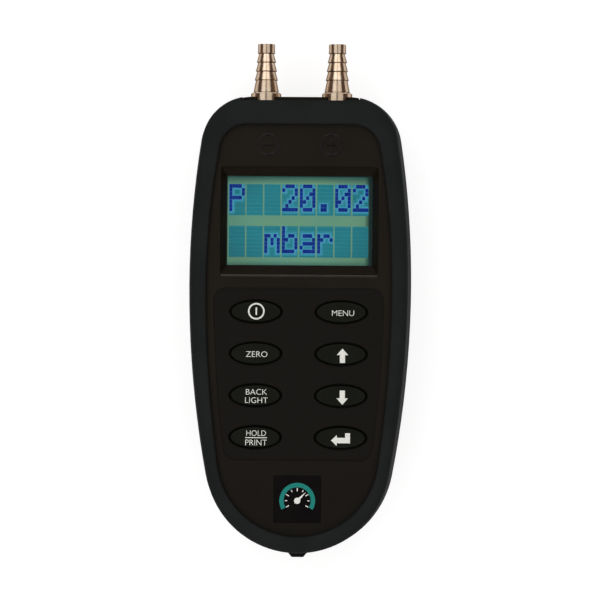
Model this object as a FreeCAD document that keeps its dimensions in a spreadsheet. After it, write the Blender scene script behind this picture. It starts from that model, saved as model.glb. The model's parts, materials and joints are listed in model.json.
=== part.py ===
"""A hand-held digital manometer: two moulded case halves in a rubber boot, with two hose nipples.

Millimetres. X runs to the right over the keys, Y towards the nipples and Z out of the front panel.
The instrument lies on the back rim of its boot at Z = 0, with the origin in the middle of its length.
"""

import FreeCAD
import Part
import Sketcher

import math
import operator
import os

from FreeCAD import Vector

# Driving sizes
SIZES = {
    # Rubber boot
    "boot_length": 179.6,
    "boot_width": 87.5,
    "boot_depth": 45.0,
    "boot_girth_height": 22.0,
    "boot_taper": 2.0,
    "widest_drop": 74.4,
    "shoulder_radius": 20.8,
    "side_radius": 375.0,
    "end_tuck": 6.35,
    "boot_wall": 3.0,
    "boot_front_round": 3.4,
    "boot_back_round": 6.0,
    "boot_back_lip": 2.5,
    "back_rim": 10.0,
    "boot_fit": 0.1,
    "port_slot_margin": 9.0,
    "port_slot_back": 7.5,
    "port_dip": 3.4,
    "window_slot_gap": 0.25,
    # Front lip of the boot
    "lip_rise": 2.4,
    "lip_top": 12.6,
    "lip_side": 8.05,
    "lip_foot": 8.3,
    "lip_level_drop": 75.3,
    "lip_shoulder_radius": 10.5,
    "lip_side_radius": 300.0,
    "lip_tuck": 4.7,
    "lip_edge_round": 0.9,
    # Case halves
    "front_case_depth": 12.6,
    "case_wall": 2.5,
    "case_front_round": 1.6,
    "tongue_height": 1.0,
    "tongue_width": 1.0,
    "tongue_inset": 0.7,
    "tongue_gap": 0.1,
    "ridge_gap": 0.3,
    "ridge_front": 5.0,
    "ridge_sink": 0.5,
    "screw_boss_radius": 4.0,
    "screw_boss_inset": 12.1,
    "foot_boss_spacing": 28.0,
    "foot_boss_rise": 17.7,
    "screw_head_radius": 2.8,
    "screw_head_height": 2.0,
    "screw_shank_radius": 1.5,
    "screw_sink": 9.4,
    "screw_clearance": 0.2,
    "insert_length": 6.0,
    "insert_radius": 2.5,
    # Display
    "well_drop": 28.5,
    "well_side_margin": 13.35,
    "well_height": 42.3,
    "well_depth": 3.4,
    "well_corner": 1.5,
    "well_side_slope": 2.05,
    "well_end_slope": 3.7,
    "well_edge_round": 0.6,
    "well_wall": 2.0,
    "aperture_rim": 1.0,
    "aperture_corner": 0.5,
    "pane_thickness": 1.2,
    "pane_seat": 1.4,
    "pane_gap": 0.1,
    "bezel_width": 1.6,
    "bezel_height": 5.9,
    "glass_thickness": 2.2,
    "glass_border": 1.2,
    "glass_sink": 0.5,
    "backlight_thickness": 3.0,
    "board_thickness": 1.6,
    "display_board_side_gap": 4.15,
    "display_board_margin": 5.85,
    "corner_hole_inset": 2.7,
    "small_boss_radius": 2.3,
    "small_screw_radius": 1.0,
    "small_head_radius": 1.9,
    "small_head_height": 1.4,
    "small_screw_bite": 4.0,
    "thread_gap": 0.1,
    "board_gap": 0.4,
    # Keys
    "key_column_gap": 13.9,
    "key_width": 7.7,
    "key_gap": 0.95,
    "key_draft": 0.5,
    "key_rise": 0.6,
    "key_edge_round": 0.5,
    "key_flange": 1.4,
    "key_flange_thickness": 1.2,
    "key_flange_gap": 0.1,
    "key_foot_length": 0.9,
    "key_foot_radius": 2.0,
    "key_travel": 1.0,
    "key_row_pitch": 16.13,
    "key_drop": 14.0,
    "key_field_above": 9.3,
    "key_field_below": 8.9,
    "key_field_inset": 2.8,
    "key_field_corner": 5.0,
    "key_field_sink": 0.5,
    "mat_thickness": 1.2,
    "mat_margin": 1.0,
    "dome_height": 0.6,
    "dome_gap": 0.1,
    "dome_margin": 3.5,
    # Main board
    "main_board_gap": 1.0,
    "main_board_top_gap": 5.0,
    "tongue_board_width": 24.0,
    "tongue_board_overlap": 5.5,
    "header_width": 20.3,
    "header_depth": 2.5,
    "board_boss_side": 11.25,
    "board_boss_foot_side": 16.25,
    "board_boss_foot_drop": 11.0,
    "chip_side": 12.0,
    "chip_height": 1.4,
    "buzzer_radius": 6.0,
    "buzzer_height": 5.0,
    "buzzer_offset": 18.0,
    "buzzer_hole_radius": 1.0,
    "buzzer_hole_depth": 1.5,
    "parts_drop": 25.0,
    # Badge
    "badge_side": 17.7,
    "badge_gap": 0.3,
    "badge_sink": 0.6,
    "badge_thickness": 0.5,
    "badge_corner": 0.6,
    "badge_drop": 23.75,
    # Hose nipples
    "nipple_reach": 20.5,
    "nipple_side": 29.75,
    "nipple_axis_height": 21.0,
    "tip_radius": 3.35,
    "tip_land": 2.0,
    "tooth_pitch": 3.53,
    "first_crest": 3.45,
    "crest_growth": 0.37,
    "tooth_step": 0.6,
    "cone_top_radius": 4.05,
    "cone_foot_radius": 5.0,
    "neck_radius": 4.4,
    "neck_length": 0.5,
    "flange_radius": 5.95,
    "flange_thickness": 3.6,
    "flange_chamfer": 0.3,
    "flange_well_gap": 0.3,
    "mouth_radius": 1.75,
    "mouth_depth": 20.0,
    "bore_radius": 1.2,
    "shank_radius": 3.5,
    "shank_clearance": 0.1,
    "shank_length": 9.0,
    "tail_length": 7.0,
    "tail_radius": 2.0,
    "tail_barb": 0.3,
    "seal_thickness": 0.7,
    "nut_across_flats": 10.0,
    "nut_thickness": 4.0,
    # Inner tubes and sensor
    "tube_outer_radius": 3.3,
    "tube_overlap": 5.5,
    "tube_bend_drop": 18.0,
    "sensor_port_spacing": 10.0,
    "sensor_port_length": 5.5,
    "sensor_port_radius": 2.0,
    "sensor_bore_radius": 1.0,
    "sensor_port_height": 4.0,
    "sensor_width": 18.0,
    "sensor_length": 14.0,
    "sensor_height": 8.0,
    "sensor_board_width": 32.0,
    "sensor_board_length": 30.0,
    "sensor_offset": 10.0,
    "sensor_header_inset": 2.5,
    # Batteries
    "bay_side_margin": 13.75,
    "cell_length": 50.5,
    "cell_nub_radius": 2.75,
    "cell_nub_length": 1.0,
    "cell_gap": 0.4,
    "cell_float": 0.3,
    "bay_drop": 15.5,
    "bay_spare": 5.0,
    "bay_wall": 2.5,
    "bay_ceiling": 1.5,
    "cover_thickness": 2.0,
    "cover_ledge": 1.0,
    "cover_gap": 0.15,
    "cover_corner": 0.6,
    "grip_width": 18.0,
    "grip_pitch": 2.0,
    "grip_groove": 1.0,
    "grip_depth": 0.6,
    "grip_rise": 7.25,
    "hook_width": 7.0,
    "hook_reach": 1.2,
    "hook_thickness": 1.5,
    "hook_gap": 0.15,
    "contact_thickness": 0.4,
    "contact_width": 9.0,
    "contact_height": 10.0,
    "leaf_width": 5.0,
    "supply_pin_radius": 1.0,
    "supply_pin_spacing": 40.0,
    "supply_collar_radius": 2.0,
    "supply_collar_height": 1.5,
    # Infrared window
    "infrared_reach": 0.7,
    "infrared_width": 7.8,
    "infrared_tip_width": 4.6,
    "infrared_taper": 2.0,
    "infrared_tip_round": 1.0,
    "infrared_height": 6.0,
    "infrared_flange": 1.2,
    "infrared_flange_thickness": 1.2,
    "infrared_flange_offset": 0.6,
    "infrared_gap": 0.15,
    "emitter_radius": 2.5,
    "emitter_length": 6.0,
    "lead_thickness": 0.5,
    "lead_pitch": 2.54,
}

KEY_NAMES = [
    ["power_key", "menu_key"],
    ["zero_key", "up_key"],
    ["backlight_key", "down_key"],
    ["hold_print_key", "enter_key"],
]
CELLS = 4
GRIP_RIBS = 4
TEETH = 4

doc = FreeCAD.newDocument("digital_manometer")
sheet = doc.addObject("Spreadsheet::Sheet", "Sizes")
pieces = []


class Size:
    """A length together with the formula that gives it, so that a sketch is drawn at its solved shape."""

    def __init__(self, number, formula):
        self.number = number
        self.formula = formula

    def __add__(self, other):
        return combined(self, "+", other)

    def __sub__(self, other):
        return combined(self, "-", other)

    def __mul__(self, other):
        return combined(self, "*", other)

    def __truediv__(self, other):
        return combined(self, "/", other)

    def __neg__(self):
        return combined(-1.0, "*", self)


OPERATIONS = {
    "+": operator.add,
    "-": operator.sub,
    "*": operator.mul,
    "/": operator.truediv,
}


def as_size(value):
    """A plain factor or a zero as a Size."""
    if isinstance(value, Size):
        return value
    return Size(float(value), f"{float(value):g}")


def combined(first, sign, second):
    """The sum, difference, product or quotient of two sizes, in number and in formula."""
    first = as_size(first)
    second = as_size(second)
    number = OPERATIONS[sign](first.number, second.number)
    return Size(number, f"({first.formula} {sign} {second.formula})")


def read_sheet():
    """Writes each driving size to its cell and returns them all by name."""
    sizes = {}
    for row, (name, value) in enumerate(SIZES.items(), start=1):
        sheet.set(f"A{row}", name.replace("_", " "))
        sheet.set(f"B{row}", str(value))
        sheet.setAlias(f"B{row}", name)
        sizes[name] = Size(value, f"Sizes.{name}")
    doc.recompute()
    return sizes


class Outline:
    """The pear shape that the boot, the case and the panel share: a flat top with round shoulders,
    bowed sides that are widest at one level, and a round end."""

    def __init__(self, half_width, level, top, bottom, shoulder, side, tuck):
        self.half_width = half_width
        self.level = level
        self.top = top
        self.bottom = bottom
        self.shoulder = shoulder
        self.side = side
        self.tuck = tuck

    @property
    def end(self):
        """Radius of the round end."""
        return self.half_width - self.tuck

    @property
    def end_centre(self):
        return self.bottom + self.end

    @property
    def lower_side(self):
        """Radius of the side below its widest level, which meets the round end smoothly."""
        rise = self.level - self.end_centre
        squares = self.half_width * self.half_width + rise * rise - self.end * self.end
        return squares / (self.tuck * 2)

    def inset(self, by):
        """The same outline, set in by one distance all round."""
        return Outline(
            self.half_width - by,
            self.level,
            self.top - by,
            self.bottom + by,
            self.shoulder - by,
            self.side - by,
            self.tuck,
        )


def dimension(sketch, kind, *where_and_size):
    """A dimension whose value follows the sheet."""
    *where, size = where_and_size
    size = as_size(size)
    index = sketch.addConstraint(Sketcher.Constraint(kind, *where, size.number))
    sketch.setExpression(f"Constraints[{index}]", size.formula)


def fix_point(sketch, edge, point, x, y):
    """Places one point of an edge from the sketch's origin."""
    dimension(sketch, "DistanceX", -1, 1, edge, point, x)
    dimension(sketch, "DistanceY", -1, 1, edge, point, y)


def arc(centre_x, centre_y, radius, start, end):
    """An arc between two angles, counted anticlockwise."""
    circle = Part.Circle(Vector(centre_x, centre_y, 0), Vector(0, 0, 1), radius)
    return Part.ArcOfCircle(circle, start, end)


def line(x1, y1, x2, y2):
    return Part.LineSegment(Vector(x1, y1, 0), Vector(x2, y2, 0))


def close_smoothly(sketch, first, count):
    """Joins a closed run of edges end to start, each tangent to the next."""
    for step in range(count):
        here = first + step
        following = first + (step + 1) % count
        sketch.addConstraint(Sketcher.Constraint("Tangent", here, 2, following, 1))


def pear(outline):
    """Draws a whole outline."""

    def draw(sketch):
        width = outline.half_width.number
        level = outline.level.number
        top = outline.top.number
        shoulder = outline.shoulder.number
        side = outline.side.number
        lower = outline.lower_side.number
        end = outline.end.number
        end_y = outline.end_centre.number
        shoulder_y = top - shoulder
        reach = math.sqrt((side - shoulder) ** 2 - (shoulder_y - level) ** 2)
        shoulder_x = width - side + reach
        upper_angle = math.asin((shoulder_y - level) / (side - shoulder))
        lower_angle = math.atan2(end_y - level, lower - width)
        half = math.pi / 2
        full = math.pi * 2
        first = sketch.GeometryCount
        sketch.addGeometry(
            [
                line(shoulder_x, top, -shoulder_x, top),
                arc(-shoulder_x, shoulder_y, shoulder, half, math.pi - upper_angle),
                arc(side - width, level, side, math.pi - upper_angle, math.pi),
                arc(lower - width, level, lower, math.pi, math.pi - lower_angle),
                arc(0, end_y, end, math.pi - lower_angle, full + lower_angle),
                arc(width - lower, level, lower, full + lower_angle, full),
                arc(width - side, level, side, 0, upper_angle),
                arc(shoulder_x, shoulder_y, shoulder, upper_angle, half),
            ],
            False,
        )
        close_smoothly(sketch, first, 8)
        sketch.addConstraint(Sketcher.Constraint("Horizontal", first))
        dimension(sketch, "DistanceY", -1, 1, first, 1, outline.top)
        dimension(sketch, "Radius", first + 7, outline.shoulder)
        sketch.addConstraint(Sketcher.Constraint("Equal", first + 7, first + 1))
        dimension(sketch, "Radius", first + 6, outline.side)
        sketch.addConstraint(Sketcher.Constraint("Equal", first + 6, first + 2))
        fix_point(sketch, first + 6, 1, outline.half_width, outline.level)
        dimension(sketch, "DistanceY", -1, 1, first + 6, 3, outline.level)
        sketch.addConstraint(Sketcher.Constraint("Symmetric", first + 2, 2, first + 6, 1, -2))
        dimension(sketch, "DistanceY", -1, 1, first + 2, 3, outline.level)
        dimension(sketch, "Radius", first + 4, outline.end)
        fix_point(sketch, first + 4, 3, 0, outline.end_centre)

    return draw


def band(outline, top, bottom, corner):
    """Draws the part of an outline between two levels below its widest one, with round corners."""

    def draw(sketch):
        lower = outline.lower_side.number
        centre_x = outline.half_width.number - lower
        level = outline.level.number
        high = top.number - corner.number
        low = bottom.number + corner.number
        round_ = corner.number
        high_angle = math.asin((high - level) / (lower - round_))
        low_angle = math.asin((low - level) / (lower - round_))
        high_x = centre_x + (lower - round_) * math.cos(high_angle)
        low_x = centre_x + (lower - round_) * math.cos(low_angle)
        half = math.pi / 2
        full = math.pi * 2
        first = sketch.GeometryCount
        sketch.addGeometry(
            [
                line(high_x, top.number, -high_x, top.number),
                arc(-high_x, high, round_, half, math.pi - high_angle),
                arc(-centre_x, level, lower, math.pi - high_angle, math.pi - low_angle),
                arc(-low_x, low, round_, math.pi - low_angle, math.pi + half),
                line(-low_x, bottom.number, low_x, bottom.number),
                arc(low_x, low, round_, math.pi + half, full + low_angle),
                arc(centre_x, level, lower, full + low_angle, full + high_angle),
                arc(high_x, high, round_, high_angle, half),
            ],
            False,
        )
        close_smoothly(sketch, first, 8)
        for edge in (first, first + 4):
            sketch.addConstraint(Sketcher.Constraint("Horizontal", edge))
        dimension(sketch, "DistanceY", -1, 1, first, 1, top)
        dimension(sketch, "DistanceY", -1, 1, first + 4, 1, bottom)
        dimension(sketch, "Radius", first + 1, corner)
        for edge in (first + 3, first + 5, first + 7):
            sketch.addConstraint(Sketcher.Constraint("Equal", first + 1, edge))
        dimension(sketch, "Radius", first + 6, outline.lower_side)
        sketch.addConstraint(Sketcher.Constraint("Equal", first + 6, first + 2))
        fix_point(sketch, first + 6, 3, outline.half_width - outline.lower_side, outline.level)
        fix_point(sketch, first + 2, 3, outline.lower_side - outline.half_width, outline.level)

    return draw


def rectangle(x, y, corner=None):
    """Draws a rectangle between two x and two y, with round corners where a corner is given."""
    if corner is not None:
        return rounded_rectangle(x, y, corner)
    return polygon([(x[0], y[0]), (x[1], y[0]), (x[1], y[1]), (x[0], y[1])])


def rounded_rectangle(x, y, corner):
    def draw(sketch):
        left = x[0].number
        right = x[1].number
        low = y[0].number
        high = y[1].number
        round_ = corner.number
        half = math.pi / 2
        first = sketch.GeometryCount
        sketch.addGeometry(
            [
                line(left + round_, low, right - round_, low),
                arc(right - round_, low + round_, round_, -half, 0),
                line(right, low + round_, right, high - round_),
                arc(right - round_, high - round_, round_, 0, half),
                line(right - round_, high, left + round_, high),
                arc(left + round_, high - round_, round_, half, math.pi),
                line(left, high - round_, left, low + round_),
                arc(left + round_, low + round_, round_, math.pi, math.pi + half),
            ],
            False,
        )
        close_smoothly(sketch, first, 8)
        for edge in (first, first + 4):
            sketch.addConstraint(Sketcher.Constraint("Horizontal", edge))
        for edge in (first + 2, first + 6):
            sketch.addConstraint(Sketcher.Constraint("Vertical", edge))
        dimension(sketch, "DistanceX", -1, 1, first + 6, 1, x[0])
        dimension(sketch, "DistanceX", -1, 1, first + 2, 1, x[1])
        dimension(sketch, "DistanceY", -1, 1, first, 1, y[0])
        dimension(sketch, "DistanceY", -1, 1, first + 4, 1, y[1])
        dimension(sketch, "Radius", first + 1, corner)
        for edge in (first + 3, first + 5, first + 7):
            sketch.addConstraint(Sketcher.Constraint("Equal", first + 1, edge))

    return draw


def polygon(corners):
    """Draws a closed run of straight edges through the corners."""

    def draw(sketch):
        points = [(as_size(x), as_size(y)) for x, y in corners]
        first = sketch.GeometryCount
        for here, following in zip(points, points[1:] + points[:1]):
            edge = line(here[0].number, here[1].number, following[0].number, following[1].number)
            sketch.addGeometry(edge, False)
        for step, (x, y) in enumerate(points):
            following = first + (step + 1) % len(points)
            sketch.addConstraint(Sketcher.Constraint("Coincident", first + step, 2, following, 1))
            fix_point(sketch, first + step, 1, x, y)

    return draw


def disc(x, y, radius):
    def draw(sketch):
        x_size = as_size(x)
        y_size = as_size(y)
        centre = Vector(x_size.number, y_size.number, 0)
        edge = sketch.addGeometry(Part.Circle(centre, Vector(0, 0, 1), radius.number), False)
        fix_point(sketch, edge, 3, x_size, y_size)
        dimension(sketch, "Radius", edge, radius)

    return draw


def oval(x, y, length, width):
    """Draws an ellipse by its centre and its two full widths."""

    def draw(sketch):
        centre = Vector(x.number, y.number, 0)
        half_length = length.number / 2
        half_width = width.number / 2
        ellipse = sketch.addGeometry(Part.Ellipse(centre, half_length, half_width), False)
        sketch.exposeInternalGeometry(ellipse)
        fix_point(sketch, ellipse, 3, x, y)
        sketch.addConstraint(Sketcher.Constraint("Horizontal", ellipse + 1))
        dimension(sketch, "Distance", ellipse + 1, 1, ellipse + 1, 2, length)
        dimension(sketch, "Distance", ellipse + 2, 1, ellipse + 2, 2, width)

    return draw


def bent_path(start, end_x, end_y, lead, drop, side):
    """Draws a tube's route down from its start: straight, an S bend sideways, straight."""

    def draw(sketch):
        shift = (start[0] - end_x) * side
        radius = (shift * shift + drop * drop) / (shift * 4)
        angle = 2 * math.atan2(shift.number, drop.number)
        x1 = start[0].number
        x2 = end_x.number
        y1 = start[1].number
        bend_top = (start[1] - lead).number
        bend_foot = bend_top - drop.number
        r = radius.number
        if side > 0:
            upper = arc(x1 - r, bend_top, r, -angle, 0)
            lower = arc(x2 + r, bend_foot, r, math.pi - angle, math.pi)
            ends = (2, 1, 1, 2)
        else:
            upper = arc(x1 + r, bend_top, r, math.pi, math.pi + angle)
            lower = arc(x2 - r, bend_foot, r, 0, angle)
            ends = (1, 2, 2, 1)
        sketch.addGeometry(
            [line(x1, y1, x1, bend_top), upper, lower, line(x2, bend_foot, x2, end_y.number)],
            False,
        )
        sketch.addConstraint(Sketcher.Constraint("Tangent", 0, 2, 1, ends[0]))
        sketch.addConstraint(Sketcher.Constraint("Tangent", 1, ends[1], 2, ends[2]))
        sketch.addConstraint(Sketcher.Constraint("Tangent", 2, ends[3], 3, 1))
        sketch.addConstraint(Sketcher.Constraint("Vertical", 0))
        sketch.addConstraint(Sketcher.Constraint("Vertical", 3))
        fix_point(sketch, 0, 1, start[0], start[1])
        dimension(sketch, "DistanceY", -1, 1, 0, 2, start[1] - lead)
        dimension(sketch, "Radius", 1, radius)
        sketch.addConstraint(Sketcher.Constraint("Equal", 1, 2))
        fix_point(sketch, 3, 2, end_x, end_y)

    return draw


def at_height(height):
    """Chooses the edges that lie in one level plane."""

    def chosen(edge):
        box = edge.BoundBox
        return abs(box.ZMin - height.number) < 1e-4 and abs(box.ZMax - height.number) < 1e-4

    return chosen


def upright_at(y):
    """Chooses the upright edges at one place along Y."""

    def chosen(edge):
        box = edge.BoundBox
        return abs(box.YMin - y.number) < 1e-4 and abs(box.YMax - y.number) < 1e-4 and box.ZLength > 1e-4

    return chosen


class Piece:
    """One body and the features that shape it, in the order in which they are made.

    A span is a pair of sizes, low and high, along the normal of the plane that is drawn on: along Z
    on the XY plane, Y on the XZ plane and X on the YZ plane.
    """

    def __init__(self, label):
        self.body = doc.addObject("PartDesign::Body", label)
        self.body.Label = label
        self.body.AllowCompound = True
        pieces.append(self.body)

    def plane(self, role):
        for feature in self.body.Origin.OriginFeatures:
            if feature.Role == role:
                return feature
        raise ValueError(role)

    def sketch(self, shapes, level, plane="XY_Plane"):
        """A sketch of one or more closed shapes, at a level above one of the body's own planes."""
        sketch = self.body.newObject("Sketcher::SketchObject", f"{self.body.Name}_sketch")
        sketch.AttachmentSupport = [(self.plane(plane), "")]
        sketch.MapMode = "FlatFace"
        offset = -level if plane == "XZ_Plane" else as_size(level)
        sketch.setExpression("AttachmentOffset.Base.z", offset.formula)
        for draw in shapes:
            draw(sketch)
        return sketch

    def extrude(self, kind, shapes, span, plane):
        """A pad or pocket over the whole span, away from the sketch along its normal."""
        start = span[1] if plane == "XZ_Plane" else span[0]
        sketch = self.sketch(shapes, start, plane)
        feature = self.body.newObject(f"PartDesign::{kind}", f"{self.body.Name}_{kind.lower()}")
        feature.Profile = sketch
        feature.setExpression("Length", (as_size(span[1]) - span[0]).formula)
        feature.Reversed = kind == "Pocket"
        return feature

    def add(self, shapes, span, plane="XY_Plane"):
        self.extrude("Pad", shapes, span, plane)

    def cut(self, shapes, span, plane="XY_Plane"):
        before = self.volume()
        self.extrude("Pocket", shapes, span, plane)
        self.check_smaller(before)

    def turn(self, shapes):
        """Material turned about the body's own Y axis."""
        sketch = self.sketch(shapes, 0)
        feature = self.body.newObject("PartDesign::Revolution", f"{self.body.Name}_revolution")
        feature.Profile = sketch
        feature.ReferenceAxis = (sketch, ["V_Axis"])

    def cut_tapered(self, low_shape, low, high_shape, high):
        """A pocket whose section changes from one level to another."""
        before = self.volume()
        lower = self.sketch([low_shape], low)
        upper = self.sketch([high_shape], high)
        feature = self.body.newObject("PartDesign::SubtractiveLoft", f"{self.body.Name}_taper")
        feature.Profile = lower
        feature.Sections = [upper]
        feature.Ruled = True
        self.check_smaller(before)

    def add_tapered(self, low_shape, low, high_shape, high):
        lower = self.sketch([low_shape], low)
        upper = self.sketch([high_shape], high)
        feature = self.body.newObject("PartDesign::AdditiveLoft", f"{self.body.Name}_taper")
        feature.Profile = lower
        feature.Sections = [upper]

    def sweep(self, section, start, path, level):
        """A section drawn across Y at the start of a path that lies in a level plane."""
        profile = self.sketch(section, start, "XZ_Plane")
        spine = self.sketch([path], level)
        doc.recompute()
        feature = self.body.newObject("PartDesign::AdditivePipe", f"{self.body.Name}_sweep")
        feature.Profile = profile
        feature.Spine = (spine, [f"Edge{index + 1}" for index in range(len(spine.Shape.Edges))])
        return spine

    def fillet(self, radius, chosen):
        doc.recompute()
        tip = self.body.Tip
        names = [f"Edge{i + 1}" for i, edge in enumerate(tip.Shape.Edges) if chosen(edge)]
        if not names:
            raise ValueError(f"{self.body.Label} has no such edge to round")
        feature = self.body.newObject("PartDesign::Fillet", f"{self.body.Name}_round")
        feature.Base = (tip, names)
        feature.setExpression("Radius", radius.formula)

    def volume(self):
        doc.recompute()
        return self.body.Shape.Volume

    def check_smaller(self, before):
        if self.volume() > before - 1e-6:
            raise ValueError(f"{self.body.Label}: {self.body.Tip.Name} removed nothing")

    def move(self, x, y, z):
        """Where the body's own origin stands."""
        for axis, value in zip("xyz", (x, y, z)):
            self.body.setExpression(f"Placement.Base.{axis}", as_size(value).formula)


s = read_sheet()


def centred(width, middle=0.0):
    """A span of a given width about a middle."""
    return (as_size(middle) - width / 2, as_size(middle) + width / 2)


def grown(span, by):
    return (span[0] - by, span[1] + by)


def four(x, y_low, y_high, x_low=None):
    """Four points, mirrored about the middle plane."""
    x_low = x if x_low is None else x_low
    return [(x, y_high), (-x, y_high), (x_low, y_low), (-x_low, y_low)]


# Levels along Z, from the boot's back up to the front panel
panel = s["boot_depth"] - s["lip_rise"]
parting = panel - s["front_case_depth"]
case_back = s["boot_back_lip"] + s["boot_fit"]
case_floor = case_back + s["case_wall"]
case_ceiling = panel - s["case_wall"]
well_floor = panel - s["well_depth"]
pane_front = well_floor - s["aperture_rim"]
pane_back = pane_front - s["pane_thickness"]
bezel_front = pane_back - s["pane_gap"]
display_board_front = bezel_front - s["bezel_height"]
display_board_back = display_board_front - s["board_thickness"]
key_flange_front = case_ceiling - s["key_flange_gap"]
key_flange_back = key_flange_front - s["key_flange_thickness"]
key_foot_end = key_flange_back - s["key_foot_length"]
dome_front = key_foot_end - s["key_travel"] - s["dome_gap"]
mat_front = dome_front - s["dome_height"]
main_board_front = mat_front - s["mat_thickness"]
main_board_back = main_board_front - s["board_thickness"]
port_axis = s["nipple_axis_height"]
sensor_board_front = port_axis - s["sensor_port_height"]
sensor_board_back = sensor_board_front - s["board_thickness"]
cover_inside = case_back + s["cover_thickness"]
bay_width = s["boot_width"] - s["bay_side_margin"] * 2
cell_radius = (bay_width - s["cell_gap"] * (CELLS + 1)) / (CELLS * 2)
cell_axis = cover_inside + s["cell_float"] + cell_radius
bay_roof = cell_axis + cell_radius + s["cell_float"]
bay_roof_outside = bay_roof + s["bay_ceiling"]

# Levels along Y, from the nipple tips down to the infrared window
tip = (s["boot_length"] + s["nipple_reach"] + s["infrared_reach"]) / 2
boot_top = tip - s["nipple_reach"]
boot_bottom = boot_top - s["boot_length"]
well_top = boot_top - s["well_drop"]
well_bottom = well_top - s["well_height"]
display_middle = (well_top + well_bottom) / 2
first_row = well_bottom - s["key_drop"]
last_row = first_row - s["key_row_pitch"] * (len(KEY_NAMES) - 1)
badge_middle = last_row - s["badge_drop"]
key_field_top = first_row + s["key_field_above"]
key_field_bottom = last_row - s["key_field_below"]
bay_top = well_bottom - s["bay_drop"]
bay_bottom = bay_top - s["cell_length"] - s["bay_spare"]

# Outlines
BOOT = Outline(
    s["boot_width"] / 2,
    boot_top - s["widest_drop"],
    boot_top,
    boot_bottom,
    s["shoulder_radius"],
    s["side_radius"],
    s["end_tuck"],
)
CAVITY = BOOT.inset(s["boot_wall"])
CASE = CAVITY.inset(s["boot_fit"])
CASE_INSIDE = CASE.inset(s["case_wall"])
LIP = Outline(
    s["boot_width"] / 2 - s["lip_side"],
    boot_top - s["lip_level_drop"],
    boot_top - s["lip_top"],
    boot_bottom + s["lip_foot"],
    s["lip_shoulder_radius"],
    s["lip_side_radius"],
    s["lip_tuck"],
)

# Display, seen from the front
well_x = centred((BOOT.half_width - s["well_side_margin"]) * 2)
well_y = (well_bottom, well_top)
aperture_x = grown(well_x, -s["well_side_slope"])
aperture_y = grown(well_y, -s["well_end_slope"])
pane_x = grown(aperture_x, s["pane_seat"])
pane_y = grown(aperture_y, s["pane_seat"])
glass_x = grown(aperture_x, s["glass_border"])
glass_y = grown(aperture_y, s["glass_border"])
bezel_x = grown(glass_x, s["bezel_width"])
bezel_y = grown(glass_y, s["bezel_width"])
display_board_x = centred((CASE_INSIDE.half_width - s["display_board_side_gap"]) * 2)
display_board_y = grown(bezel_y, s["display_board_margin"])
display_bosses = four(
    display_board_x[1] - s["corner_hole_inset"],
    display_board_y[0] + s["corner_hole_inset"],
    display_board_y[1] - s["corner_hole_inset"],
)

# Case screws and board screws
shoulder_boss_y = display_board_y[1] + s["board_gap"] + s["screw_boss_radius"]
case_bosses = four(
    CASE.half_width - s["screw_boss_inset"],
    boot_bottom + s["foot_boss_rise"],
    shoulder_boss_y,
    s["foot_boss_spacing"] / 2,
)
board_bosses = four(
    BOOT.half_width - s["board_boss_side"],
    last_row - s["board_boss_foot_drop"],
    first_row - s["key_row_pitch"] / 2,
    BOOT.half_width - s["board_boss_foot_side"],
)

board_foot = case_bosses[2][1] + s["screw_boss_radius"] + s["board_gap"]

# Keys: each column stands in the middle of its half of the key field
KEY_FIELD = LIP.inset(s["key_field_inset"])
key_column_spacing = KEY_FIELD.half_width
key_length = key_column_spacing - s["key_column_gap"]

# Nipples
port_x = BOOT.half_width - s["nipple_side"]
port_slot_x = centred((port_x + s["port_slot_margin"]) * 2)
flange_seat = CASE.top + s["seal_thickness"]


def discs(places, radius):
    return [disc(x, y, radius) for x, y in places]


def key_places():
    """Name, x and y of every key."""
    half = key_column_spacing / 2
    for row, names in enumerate(KEY_NAMES):
        for name, x in zip(names, (-half, half)):
            yield name, x, first_row - s["key_row_pitch"] * row


def make_boot():
    """The rubber sleeve: a wall round the case that leans in towards the front, a thick front lip, a
    rear rim, a notch for the port ridge and a slot for the infrared window."""
    boot = Piece("rubber_boot")
    girth = s["boot_girth_height"]
    boot.add([pear(BOOT)], (as_size(0), girth))
    boot.add_tapered(pear(BOOT), girth, pear(BOOT.inset(s["boot_taper"])), s["boot_depth"])
    boot.fillet(s["boot_front_round"], at_height(s["boot_depth"]))
    boot.fillet(s["boot_back_round"], at_height(as_size(0)))
    boot.cut([pear(CAVITY)], (s["boot_back_lip"], panel))
    boot.fillet(s["case_front_round"] + s["boot_fit"], at_height(panel))
    boot.fillet(s["boot_back_round"] - s["boot_wall"], at_height(s["boot_back_lip"]))
    boot.cut([pear(LIP)], (parting, s["boot_depth"]))
    boot.fillet(s["lip_edge_round"], inner_lip_edge)
    boot.cut([pear(BOOT.inset(s["back_rim"]))], (as_size(0), parting))
    through = grown((CAVITY.top, boot_top), s["boot_wall"])
    boot.cut([rectangle(port_slot_x, through)], (port_axis - s["port_slot_back"], panel))
    dip = (boot_top - s["port_dip"], boot_top + s["boot_wall"])
    boot.cut([rectangle(port_slot_x, dip)], (panel, s["boot_depth"]))
    window_x = grown(centred(s["infrared_width"]), s["window_slot_gap"])
    window_z = grown(centred(s["infrared_height"], parting), s["window_slot_gap"])
    foot = grown((boot_bottom, CAVITY.bottom), s["boot_wall"])
    boot.cut([rectangle(window_x, window_z)], foot, "XZ_Plane")


def inner_lip_edge(edge):
    """The front edge of the boot's opening, inside its outer round."""
    spans = (centred(LIP.half_width * 2), (LIP.bottom, LIP.top))
    return at_height(s["boot_depth"])(edge) and edge_is_inside(edge, *spans)


def well_edge(edge):
    """The front edge of the display well."""
    return at_height(panel)(edge) and edge_is_inside(edge, well_x, well_y)


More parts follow.
